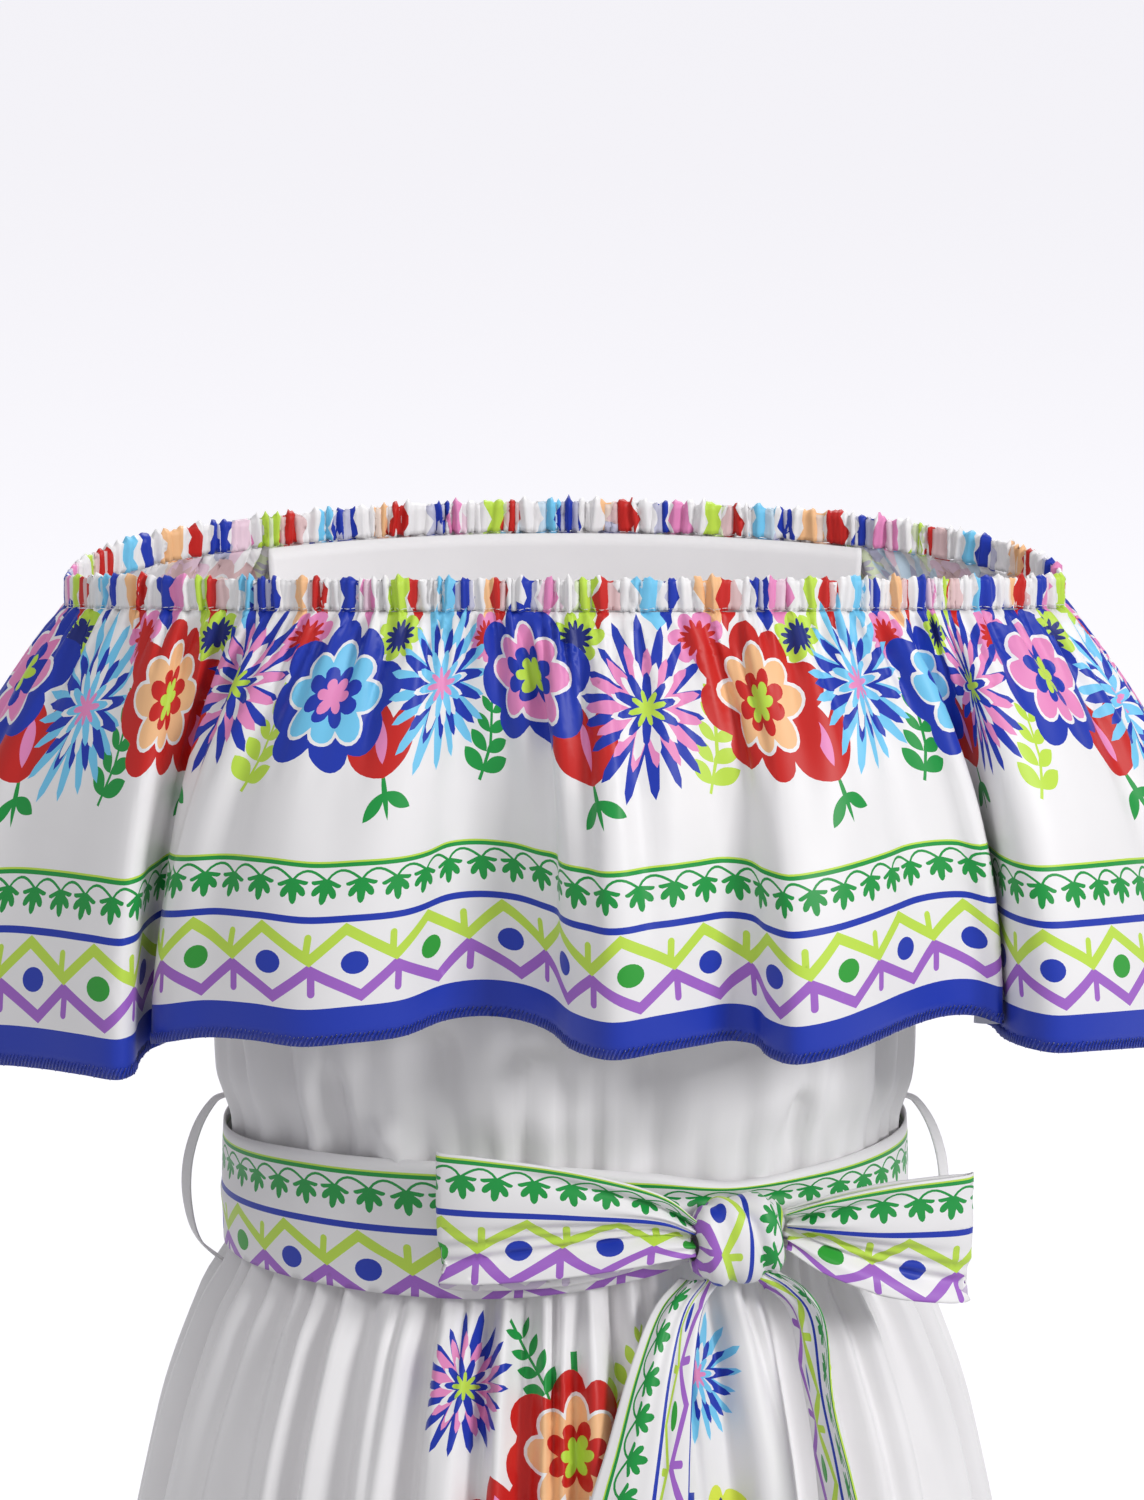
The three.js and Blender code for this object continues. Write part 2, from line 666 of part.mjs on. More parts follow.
function add(name, geometry, finish) {
  const mesh = new THREE.Mesh(geometry, new THREE.MeshStandardMaterial(finish));
  mesh.name = name;
  dress.add(mesh);
}

for (const [side, facing, hem, steps] of [
  ["front", 1, FRONT_HEM, 2],
  ["back", -1, BACK_HEM, 3],
]) {
  add("casing_" + side, casing(facing), FINISH.print);
  add("flounce_" + side, flounce(facing, hem, steps), FINISH.print);
  add("bodice_" + side, bodice(facing), FINISH.white);
  add("skirt_" + side, skirt(facing), FINISH.white);
}
add("sash_belt", belt(), FINISH.sash);
add("sash_knot", knot(), FINISH.sash);
add("bow_loop_left", uprightStrip(LEFT_LOOP, 30, CLOTH), FINISH.sash);
add("bow_loop_right", uprightStrip(RIGHT_LOOP, 30, CLOTH), FINISH.sash);
add("sash_end_left", hangingEnd(LEFT_END, 14, CLOTH), FINISH.sash);
add("sash_end_right", hangingEnd(RIGHT_END, 14, CLOTH), FINISH.sash);
add("belt_carrier_left", carrier(-1), FINISH.white);
add("belt_carrier_right", carrier(1), FINISH.white);

export default dress;
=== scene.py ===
"""The looks of an off-the-shoulder folk dress: satin cloth, its printed flowers and border, gathers and bow.

Shapes are worked out in millimetres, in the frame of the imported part: +Z up, the front faces -Y, and the
origin is the middle of the neck opening. Cloth is drawn on flat first: u runs along a piece and w up it, in
millimetres of flat cloth. The mesh of each piece follows the edges of its print.
"""

from __future__ import annotations

import logging
import math
from dataclasses import dataclass, field, replace
from enum import Enum
from functools import partial
from typing import Callable, Sequence

import bmesh
import bpy
import numpy as np
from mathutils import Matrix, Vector
from mathutils.geometry import delaunay_2d_cdt


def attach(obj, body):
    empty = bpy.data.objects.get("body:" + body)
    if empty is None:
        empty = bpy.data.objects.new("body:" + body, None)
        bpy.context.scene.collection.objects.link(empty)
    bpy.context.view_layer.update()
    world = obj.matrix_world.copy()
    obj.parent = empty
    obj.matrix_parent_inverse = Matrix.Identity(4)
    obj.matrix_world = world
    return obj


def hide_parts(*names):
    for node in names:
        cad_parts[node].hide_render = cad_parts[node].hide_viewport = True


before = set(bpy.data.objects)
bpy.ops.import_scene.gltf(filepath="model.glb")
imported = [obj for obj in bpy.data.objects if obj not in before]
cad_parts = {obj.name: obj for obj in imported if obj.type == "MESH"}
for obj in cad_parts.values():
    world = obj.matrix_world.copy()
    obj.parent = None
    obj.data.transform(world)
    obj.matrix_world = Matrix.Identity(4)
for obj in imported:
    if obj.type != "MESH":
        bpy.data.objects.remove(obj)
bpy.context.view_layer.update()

log = logging.getLogger("folk_dress")

MM = 1e-3
Array = np.ndarray
Shape = Callable[[Array, Array], Array]
Relief = Callable[[Array, Array], Array]
Point = tuple[float, float]
Rows = tuple[tuple[float, ...], ...]

# Driving sizes of the part, in millimetres.
CASING_HEIGHT = 15.0
WAIST_Z = -286.0
SKIRT_HEM_Z = -1100.0
FLOUNCE_DEEP = 200.0
CLOTH_THICK = 0.9

# Flat points this near are one point, and a triangle with less than this doubled area is left out.
SAME_POINT = 1e-4
NO_AREA = 1e-7


class Side(Enum):
    """The half of the dress that a panel covers."""

    FRONT = 1
    BACK = -1


class Ink(Enum):
    """The colours that the cloth is printed in, as they look on it."""

    WHITE = "efedee"
    BLUE = "1233ad"
    NAVY = "14247a"
    SKY = "74c9f0"
    RED = "c81d17"
    PINK = "e88bc0"
    LIME = "bfe04a"
    GREEN = "12953f"
    DOT_GREEN = "2a9d32"
    PURPLE = "a163c6"
    PEACH = "f6c08c"
    YELLOW = "dbe84a"


def linear(hexed: str) -> tuple[float, float, float, float]:
    """A colour as light: each of the three channels goes through the screen curve of sRGB.

    Args:
        hexed: six hexadecimal digits, as on a screen.

    Returns:
        Red, green, blue and 1, each in proportion to light.
    """
    channels = [int(hexed[i : i + 2], 16) / 255 for i in (0, 2, 4)]
    lit = [c / 12.92 if c < 0.04045 else ((c + 0.055) / 1.055) ** 2.4 for c in channels]
    return (*lit, 1.0)


class Table:
    """Rows of sizes, read anywhere between them along a smooth curve through the rows.

    The slope at a row is that of the line between its two neighbours, and each span is the cubic that has the
    rows' values and slopes at its ends.
    """

    def __init__(self, columns: Sequence[str], rows: Sequence[Sequence[float]]) -> None:
        """Keeps the rows by the names of their columns; the first column is the place.

        Args:
            columns: the names of the columns.
            rows: the rows, by rising place.
        """
        self.of = dict(zip(columns, np.array(rows, float).T))
        self.place = self.of[columns[0]]

    def read(self, column: str, at: Array) -> Array:
        """The value of a column at some places.

        Args:
            column: the column's name.
            at: the places.

        Returns:
            The values, one for each place.
        """
        x, y = self.place, self.of[column]
        before, after = np.r_[0, 0 : len(x) - 1], np.r_[1 : len(x), len(x) - 1]
        slope = (y[after] - y[before]) / (x[after] - x[before])
        i = np.clip(np.searchsorted(x, at, side="left") - 1, 0, len(x) - 2)
        span = x[i + 1] - x[i]
        t = np.clip((at - x[i]) / span, 0, 1)
        t2, t3 = t * t, t * t * t
        return (
            (2 * t3 - 3 * t2 + 1) * y[i]
            + (t3 - 2 * t2 + t) * span * slope[i]
            + (3 * t2 - 2 * t3) * y[i + 1]
            + (t3 - t2) * span * slope[i + 1]
        )


def numbered(columns: Sequence[str], rows: Sequence[Sequence[float]]) -> Table:
    """A table whose place is the share of the rows walked, from 0 to 1."""
    steps = np.linspace(0, 1, len(rows))
    return Table(["at", *columns], [[t, *row] for t, row in zip(steps, rows)])


@dataclass(frozen=True)
class Oval:
    """A level line round the dress: two half ovals of one width."""

    half_width: float | Array
    front: float | Array
    back: float | Array

    def depth(self, side: Side) -> float | Array:
        """How far the oval reaches on a side of the dress."""
        return self.front if side is Side.FRONT else self.back

    def at(self, angle: Array, side: Side, out: float | Array = 0.0) -> Array:
        """Points by their angle from the middle of a side: (width sin, -side depth cos), moved outwards.

        Args:
            angle: angles, in radians, positive to the right.
            side: the front or the back.
            out: how far the points are moved along the oval's normal.

        Returns:
            An array of x and y.
        """
        sine, cosine = np.sin(angle), np.cos(angle)
        deep = self.depth(side)
        nx, ny = deep * sine, -side.value * self.half_width * cosine
        length = np.hypot(nx, ny)
        x = self.half_width * sine + out * nx / length
        y = -side.value * deep * cosine + out * ny / length
        return np.stack([x, y], axis=-1)

    def walk(self, side: Side, place: Array) -> Array:
        """The angle of each place from -1 to 1, where the half oval is walked in equal lengths.

        Args:
            side: the front or the back.
            place: the places.

        Returns:
            Their angles.
        """
        angle = np.linspace(-0.5, 0.5, 721) * math.pi
        step = np.hypot(*np.diff(self.at(angle, side), axis=0).T)
        length = np.r_[0, np.cumsum(step)]
        return np.interp((place + 1) / 2, length / length[-1], angle)


NECK = Oval(226, 108, 104)
NECK_RISE = {Side.FRONT: 29.5, Side.BACK: 6.0}
WAIST_RISE = {Side.FRONT: 11.0, Side.BACK: 4.0}


def neck_top(angle: Array, side: Side) -> Array:
    """The height of the neckline: 1 + rise cos(angle)."""
    return 1 + NECK_RISE[side] * np.cos(angle)


def waist_line(angle: Array, side: Side) -> Array:
    """The height of the waist seam: waist + rise cos(angle)."""
    return WAIST_Z + WAIST_RISE[side] * np.cos(angle)


def gathers(count: float, at: Array, drift: float) -> Array:
    """Waves that aren't quite even: cos(pi (count at + drift (sin(5.3 at + 0.7) + 0.5 sin(13 at))))."""
    wander = np.sin(5.3 * at + 0.7) + 0.5 * np.sin(13 * at)
    return np.cos(math.pi * (count * at + drift * wander))


def folds(count: float, at: Array, drift: float) -> Array:
    """Broad crests and narrow valleys: 1 - 2 ((1 - gathers) / 2)^2."""
    return 1 - 2 * ((1 - gathers(count, at, drift)) / 2) ** 2


def lerp(a: Array, b: Array, t: Array) -> Array:
    """The point a share t of the way from a to b."""
    return a + (b - a) * t


def ramp(value: Array, low: float, high: float) -> Array:
    """A soft step from 0 at low to 1 at high: 3 t^2 - 2 t^3."""
    t = np.clip((value - low) / (high - low), 0, 1)
    return t * t * (3 - 2 * t)


def off_ends(u: Array, long: float, over: float) -> Array:
    """1 along a piece of cloth, and softly down to 0 over a stretch at each of its two ends."""
    return ramp(u, 0, over) * ramp(long - u, 0, over)


def spun(points: Array, degrees: float) -> Array:
    """Points turned to the left about (0, 0)."""
    sine, cosine = math.sin(math.radians(degrees)), math.cos(math.radians(degrees))
    return points @ np.array([[cosine, sine], [-sine, cosine]])


@dataclass(frozen=True)
class Crease:
    """A crease across flat cloth, from one point to another: a trough where deep is below 0, else a ridge.

    Its height is deep exp(-(d / wide)^2) times a taper along it, where d is the distance from its line. The
    side that its lee is on falls away more slowly, as where cloth lies over itself.
    """

    start: Point
    end: Point
    deep: float
    wide: float = 3.5
    lee: float = 1.0
    from_edge: bool = True

    def height(self, u: Array, w: Array) -> Array:
        """The crease's height over the cloth.

        Args:
            u: places along the cloth.
            w: places up the cloth.

        Returns:
            The heights.
        """
        along = np.subtract(self.end, self.start)
        length = float(np.hypot(*along))
        along = along / length
        du, dw = u - self.start[0], w - self.start[1]
        t = (du * along[0] + dw * along[1]) / length
        d = du * along[1] - dw * along[0]
        width = self.wide * (1 + 0.9 * np.clip(t, 0, 1))
        width = np.where(d > 0, width * self.lee, width)
        start = 1.0 if self.from_edge else ramp(t, 0, 0.25)
        taper = start * (1 - ramp(t, 0.15, 1)) * (t > -0.2)
        return self.deep * np.exp(-((d / width) ** 2)) * taper


def creased(creases: Sequence[Crease], u: Array, w: Array) -> Array:
    """The heights of several creases, added up."""
    return sum((crease.height(u, w) for crease in creases), np.zeros_like(u))


class Print:
    """Shapes printed on flat cloth, each over those before it."""

    EDGE = 3.0
    SPOT_CORNERS = 20

    def __init__(self) -> None:
        """Starts with plain cloth."""
        self.shapes: list[tuple[Ink, Array]] = []

    def add(self, ink: Ink, outline: Array | Sequence[Point]) -> None:
        """Prints one closed shape, its long edges cut into short ones so that they can bend with the cloth.

        Args:
            ink: its colour.
            outline: its corners in flat cloth.
        """
        corners = np.asarray(outline, float)
        ahead = np.roll(corners, -1, axis=0)
        pieces = np.ceil(np.hypot(*(ahead - corners).T) / self.EDGE).astype(int)
        pieces = np.maximum(pieces, 1)
        share = np.concatenate([np.arange(n) / n for n in pieces])[:, None]
        points = lerp(np.repeat(corners, pieces, 0), np.repeat(ahead, pieces, 0), share)
        self.shapes.append((ink, points))

    def stroke(self, ink: Ink, line: Array | Sequence[Point], wide: float) -> None:
        """Prints a line with mitred corners, tapering if wide is one width for each of its points.

        Args:
            ink: its colour.
            line: its points.
            wide: its width.
        """
        points = np.asarray(line, float)
        step = np.diff(points, axis=0)
        step = step / np.hypot(*step.T)[:, None]
        before, after = np.r_[step[:1], step], np.r_[step, step[-1:]]
        mean = before + after
        mean = mean / np.hypot(*mean.T)[:, None]
        normal = np.stack([-mean[:, 1], mean[:, 0]], axis=1)
        mitre = np.clip((mean * after).sum(axis=1), 0.5, 1)[:, None]
        offset = normal * np.reshape(wide, (-1, 1)) / 2 / mitre
        self.add(ink, np.r_[points + offset, (points - offset)[::-1]])

    def spot(self, ink: Ink, at: Point, wide: float, tall: float) -> None:
        """Prints an oval spot of that half width and half height."""
        turn = np.linspace(0, 2 * math.pi, self.SPOT_CORNERS + 1)[:-1]
        self.add(ink, np.stack([at[0] + wide * np.cos(turn), at[1] + tall * np.sin(turn)], 1))


@dataclass(frozen=True)
class Motif:
    """Where a flower or leaf is printed: its middle, how far it is stretched, and its turn to the left."""

    at: Point
    wide: float = 1.0
    tall: float = 1.0
    turn: float = 0.0

    def place(self, points: Array) -> Array:
        """Turns points about (0, 0), stretches them and moves them to the motif's middle."""
        return spun(points, self.turn) * (self.wide, self.tall) + self.at

    def petals(
        self,
        cloth: Print,
        ink: Ink,
        count: int,
        inner: float,
        outer: float,
        round_by: float,
        phase: float = 0.0,
    ) -> None:
        """Prints a ring of petals, a little uneven: r = inner + (outer - inner) |cos(count a / 2)|^p.

        Args:
            cloth: the print.
            ink: its colour.
            count: the number of petals.
            inner: how far out the notches between them are.
            outer: how far out their tips are.
            round_by: p, below 1 for round petals and above it for pointed ones.
            phase: the turn of the first petal, in petals.
        """
        corners = max(count * (8 if round_by < 1 else 6), 22, int(1.8 * outer))
        a = np.linspace(0, 2 * math.pi, corners, endpoint=False)
        uneven = 1 + 0.09 * np.sin(2 * a + count) + 0.06 * np.sin(5 * a + 2 * phase)
        swell = np.abs(np.cos(count * a / 2 - math.pi * phase)) ** round_by
        r = (inner + (outer - inner) * swell) * uneven
        cloth.add(ink, self.place(np.stack([r * np.cos(a), r * np.sin(a)], axis=1)))

    def leaf(
        self, cloth: Print, ink: Ink, reach: float, fat: float, heading: float, off: Point
    ) -> None:
        """Prints a pointed leaf: its edge is fat sin(pi t)^0.8 from its midrib.

        Args:
            cloth: the print.
            ink: its colour.
            reach: its length.
            fat: half its width.
            heading: the direction that it points in, in degrees to the left of +u.
            off: its foot in the motif.
        """
        t = np.linspace(0, 1, 11)
        side = np.stack([reach * t, fat * np.sin(math.pi * t) ** 0.8], axis=1)
        outline = np.r_[side, side[-2:0:-1] * (1, -1)]
        cloth.add(ink, self.place(spun(outline, heading) + off))

    def rosette(self, cloth: Print, outer: Ink, middle: Ink, heart: Ink) -> None:
        """Prints a round flower: rings of round petals about a small heart.

        Args:
            cloth: the print.
            outer: the ink of its outermost petals.
            middle: the ink of a ring inside them.
            heart: the ink of its heart.
        """
        self.petals(cloth, outer, 8, 34, 46, 0.6, 0.25)
        self.petals(cloth, Ink.WHITE, 8, 25, 33, 0.8)
        self.petals(cloth, middle, 8, 21, 31, 0.8)
        self.petals(cloth, outer, 8, 12, 19, 0.7, 0.5)
        self.petals(cloth, heart, 6, 6, 11, 0.8)

    def aster(self, cloth: Print, outer: Ink, middle: Ink, heart: Ink) -> None:
        """Prints a flower of narrow pointed petals in rings that grow shorter inwards.

        Args:
            cloth: the print.
            outer: the ink of its outermost petals.
            middle: the ink of a ring inside them.
            heart: the ink of its heart.
        """
        for ink, count, notch, tip in (
            (outer, 18, 22, 46),
            (middle, 15, 17, 36),
            (Ink.WHITE, 12, 11, 25),
            (outer, 10, 9, 20),
            (heart, 8, 4, 11),
        ):
            self.petals(cloth, ink, count, notch, tip, 1.6)

    def tulip(self, cloth: Print, ink: Ink, heart: Ink) -> None:
        """Prints a cup of three pointed petals on a short stem with two leaves.

        Args:
            cloth: the print.
            ink: the petals' ink.
            heart: the ink of the petal within.
        """
        self.leaf(cloth, Ink.GREEN, 30, 1.8, -90, (0, -16))
        for heading in (-40, -140):
            self.leaf(cloth, Ink.GREEN, 20, 4.0, heading, (0, -30))
        for heading in (58, 122, 90):
            self.leaf(cloth, ink, 46, 11, heading, (0, -22))
        self.leaf(cloth, heart, 27, 4.2, 90, (0, -14))

    def sprig(self, cloth: Print, ink: Ink) -> None:
        """Prints a stem with pairs of leaves that grow smaller towards its tip.

        Args:
            cloth: the print.
            ink: the ink of stem and leaves.
        """
        cloth.stroke(ink, self.place(np.array([(0, -36), (3, -12), (0, 12), (-3, 34)], float)), 1.8)
        for k in range(5):
            for side in (-1, 1):
                self.leaf(cloth, ink, 20 - 2 * k, 5.0 - 0.6 * k, 90 - 50 * side, (1, -30 + 13 * k))

    def daisy(self, cloth: Print, rim: Ink, heart: Ink) -> None:
        """Prints a small round flower: scalloped petals of one ink and a ragged heart of another."""
        self.petals(cloth, rim, 7, 15, 21, 0.6)
        self.petals(cloth, heart, 13, 8, 14, 1.2)


@dataclass(frozen=True)
class Border:
    """The border print. Heights are above the cloth's cut edge, in millimetres of flat cloth."""

    period: float = 41.0
    green_dot: float = 524.0
    leaf_step: float = 16.9
    band: float = 16.9
    purple: tuple[float, float] = (21.6, 34.2)
    lime: tuple[float, float] = (38.6, 52.0)
    stroke: float = 4.7
    dot: tuple[float, float, float] = (36.6, 6.4, 5.2)
    line: tuple[float, float] = (56.6, 3.1)
    leaf_joint: float = 74.0
    arch: float = 4.6
    top: tuple[float, float] = (81.0, 1.9)

    def draw(self, cloth: Print, start: float, end: float) -> None:
        """Prints the border from one place to another.

        Args:
            cloth: the print.
            start: where it starts along the cloth.
            end: where it ends.
        """
        self._bands(cloth, start, end)
        self._zigzags(cloth, start, end)
        self._leaves(cloth, start, end)

    def _bands(self, cloth: Print, start: float, end: float) -> None:
        """Prints the blue band at the edge, the blue line, and the green line in its thin lime one.

        Args:
            cloth: the print.
            start: where the border starts along the cloth.
            end: where it ends.
        """
        for ink, middle, wide in (
            (Ink.BLUE, self.band / 2 - 1, self.band + 2),
            (Ink.BLUE, *self.line),
            (Ink.LIME, self.top[0] + 0.5, self.top[1] + 0.8),
            (Ink.GREEN, *self.top),
        ):
            cloth.stroke(ink, [(start, middle), (end, middle)], wide)

    def _zigzags(self, cloth: Print, start: float, end: float) -> None:
        """Prints the two zigzags, their ticks and the dots between them.

        Args:
            cloth: the print.
            start: where the border starts along the cloth.
            end: where it ends.
        """
        first, last = (math.floor((v - self.green_dot) / self.period) for v in (start, end))
        for low, high, ink, lean, tick, tick_off in (
            (*self.purple, Ink.PURPLE, 0.6, -10.5, 1.2),
            (*self.lime[::-1], Ink.LIME, 0.4, 10.0, -2.0),
        ):
            line = []
            for k in range(first - 1, last + 2):
                joint = self.green_dot + (k - 0.5) * self.period
                hand = 0.8 * math.sin(2.3 * k)
                line += [(joint + hand, high), (joint + self.period * (lean + 0.02 * math.sin(1.7 * k)), low)]
                foot = (joint + hand + tick_off, high)
                tip = (foot[0] + 0.8 * math.sin(k), high + tick)
                cloth.stroke(ink, [foot, tip], 3.5)
                cloth.spot(ink, tip, 1.75, 1.75)
            cloth.stroke(ink, line, self.stroke)
        for k in range(first - 1, last + 2):
            at = self.green_dot + k * self.period + 1.2 * math.sin(3.1 * k)
            if start - 8 < at < end + 8:
                ink = Ink.DOT_GREEN if k % 3 == 0 else Ink.BLUE
                cloth.spot(ink, (at, self.dot[0]), self.dot[1], self.dot[2])

    def _leaves(self, cloth: Print, start: float, end: float) -> None:
        """Prints arches and hanging leaves: r = 4.2 + 6.6 |cos(4.5 a)|^0.6, to 82 degrees either side.

        Args:
            cloth: the print.
            start: where the border starts along the cloth.
            end: where it ends.
        """
        a = np.linspace(-1.43, 1.43, 31)
        r = (4.2 + 6.6 * np.abs(np.cos(4.5 * a)) ** 0.6) * (1 - 0.3 * np.abs(a) / 1.43)
        t = np.linspace(0, 1, 9)
        for k in range(math.floor(start / self.leaf_step), math.ceil(end / self.leaf_step) + 1):
            at = (k + 0.35) * self.leaf_step
            sway = 0.16 * math.sin(2.1 * k)
            leaf = np.stack([at + r * np.sin(a + sway), self.leaf_joint - r * np.cos(a + sway)], axis=1)
            stalk = [(at + 1.2, self.leaf_joint + 0.8), (at - 1.2, self.leaf_joint + 0.8)]
            cloth.add(Ink.GREEN, np.r_[leaf, stalk])
            rise = self.arch * np.sin(math.pi * t**0.8)
            arch = np.stack([at + self.leaf_step * t, self.leaf_joint + rise], axis=1)
            cloth.stroke(Ink.GREEN, arch, 1.2)


def new_material(name: str, **values: object) -> tuple[bpy.types.Material, bpy.types.Node]:
    """Makes a material and sets inputs of its surface shader by their names, with a _ for each space.

    Args:
        name: the material's name.
        values: the inputs' values.

    Returns:
        The material and its shader.
    """
    material = bpy.data.materials.new(name)
    material.use_nodes = True
    shader = material.node_tree.nodes["Principled BSDF"]
    for key, value in values.items():
        shader.inputs[key.replace("_", " ")].default_value = value
    return material, shader


def new_node(material: bpy.types.Material, kind: str, **values: object) -> bpy.types.Node:
    """Adds a shader node and sets its inputs by their names, with a _ for each space.

    Args:
        material: the material.
        kind: the node's kind.
        values: the inputs' values.

    Returns:
        The node.
    """
    node = material.node_tree.nodes.new("ShaderNode" + kind)
    for key, value in values.items():
        node.inputs[key.replace("_", " ")].default_value = value
    return node


@dataclass(frozen=True)
class Satin:
    """A soft polyester satin: its print or plain colour, its sheen, weave and faint rumples."""

    name: str
    printed: bool = False
    reverse: bool = False
    roughness: float = 0.46
    sheen: float = 0.12
    rumple: float = 0.12
    paler_by: float = 0.62

    def make(self) -> bpy.types.Material:
        """Builds the material. The reverse shows the print paler, as through thin cloth.

        Returns:
            The material.
        """
        material, shader = new_material(
            self.name,
            Roughness=self.roughness,
            Sheen_Weight=self.sheen,
            Sheen_Roughness=0.4,
            Specular_IOR_Level=0.35,
        )
        links = material.node_tree.links
        colour = new_node(material, "RGB").outputs[0]
        colour.default_value = linear(Ink.WHITE.value)
        if self.printed:
            attribute = new_node(material, "Attribute")
            attribute.attribute_name = "print"
            colour = attribute.outputs["Color"]
        if self.reverse:
            paler = new_node(material, "Mix")
            paler.data_type = "RGBA"
            paler.inputs[0].default_value = self.paler_by
            paler.inputs[7].default_value = linear(Ink.WHITE.value)
            links.new(colour, paler.inputs[6])
            colour = paler.outputs[2]
        place = new_node(material, "TexCoord")
        patchy = new_node(material, "TexNoise", Scale=22, Detail=3)
        links.new(place.outputs["Object"], patchy.inputs["Vector"])
        strength = new_node(material, "MapRange", To_Min=0.94, To_Max=1.03)
        links.new(patchy.outputs[0], strength.inputs["Value"])
        tint = new_node(material, "VectorMath")
        tint.operation = "SCALE"
        links.new(colour, tint.inputs[0])
        links.new(strength.outputs[0], tint.inputs["Scale"])
        links.new(tint.outputs[0], shader.inputs["Base Color"])
        links.new(self._threads(material, place), shader.inputs["Normal"])
        return material

    def _threads(self, material: bpy.types.Material, place: bpy.types.Node) -> bpy.types.NodeSocket:
        """Two bumps: the weave on the cloth's own flat map, and soft rumples a few centimetres apart.

        Args:
            material: the material.
            place: its coordinates node.

        Returns:
            The socket that gives the normal.
        """
        links = material.node_tree.links
        threads = new_node(material, "Mapping", Scale=(150, 420, 1))
        weave = new_node(material, "TexNoise", Scale=1, Detail=2)
        rumples = new_node(material, "TexNoise", Scale=26, Detail=2)
        fine = new_node(material, "Bump", Strength=0.12, Distance=0.0002)
        broad = new_node(material, "Bump", Strength=self.rumple, Distance=0.004)
        links.new(place.outputs["UV"], threads.inputs["Vector"])
        links.new(threads.outputs[0], weave.inputs["Vector"])
        links.new(weave.outputs[0], fine.inputs["Height"])
        links.new(place.outputs["Object"], rumples.inputs["Vector"])
        links.new(rumples.outputs[0], broad.inputs["Height"])
        links.new(broad.outputs[0], fine.inputs["Normal"])
        return fine.outputs[0]


@dataclass(frozen=True)
class Thread:
    """Sewing thread: one colour, a little shiny, twisted along its length; dark flecks from a fine noise are
    painted shade, standing in for the shade between the strands of the twist.
    """

    name: str
    ink: Ink

    def make(self) -> bpy.types.Material:
        """Builds the material.

        Returns:
            The material.
        """
        material, shader = new_material(self.name, Roughness=0.5, Sheen_Weight=0.3)
        links = material.node_tree.links
        # Painted shade: a fine noise mixes the thread's colour with a copy at 0.55 of its brightness, as the
        # shade in the twist.
        place, twist_shade_noise = new_node(material, "TexCoord"), new_node(material, "TexNoise", Scale=2600)
        shade = new_node(material, "ValToRGB")
        light = linear(self.ink.value)
        painted_shade = tuple(np.array(light) * (0.55, 0.55, 0.55, 1))
        for stop, colour, at in zip(shade.color_ramp.elements, (painted_shade, light), (0.3, 0.6)):
            stop.color, stop.position = colour, at
        links.new(place.outputs["Object"], twist_shade_noise.inputs["Vector"])
        links.new(twist_shade_noise.outputs[0], shade.inputs[0])
        links.new(shade.outputs[0], shader.inputs["Base Color"])
        return material


@dataclass
class Finishes:
    """Every finish of the dress, made once."""

    white: bpy.types.Material = field(default_factory=Satin("white satin").make)
    white_inside: bpy.types.Material = field(
        default_factory=Satin("white satin, wrong side", sheen=0.05).make
    )
    printed: bpy.types.Material = field(default_factory=Satin("printed satin", printed=True).make)
    print_inside: bpy.types.Material = field(
        default_factory=Satin("printed satin, wrong side", printed=True, reverse=True, sheen=0.05).make
    )
    white_thread: bpy.types.Material = field(default_factory=Thread("white thread", Ink.WHITE).make)
    blue_thread: bpy.types.Material = field(default_factory=Thread("blue thread", Ink.BLUE).make)


def inside(points: Array, outline: Array) -> Array:
    """Which points lie inside an outline: those that it winds round, by the sides that pass each point.

    Args:
        points: the points.
        outline: the outline's corners.

    Returns:
        A flag for each point.
    """
    ahead = np.roll(outline, -1, axis=0)
    x, y = points[:, :1], points[:, 1:]
    along, rise = (ahead - outline).T
    turn = along * (y - outline[:, 1]) - rise * (x - outline[:, 0])
    below, above = outline[:, 1] <= y, ahead[:, 1] <= y
    rising = (below & ~above & (turn > 0)).sum(axis=1)
    falling = (~below & above & (turn < 0)).sum(axis=1)
    return rising != falling


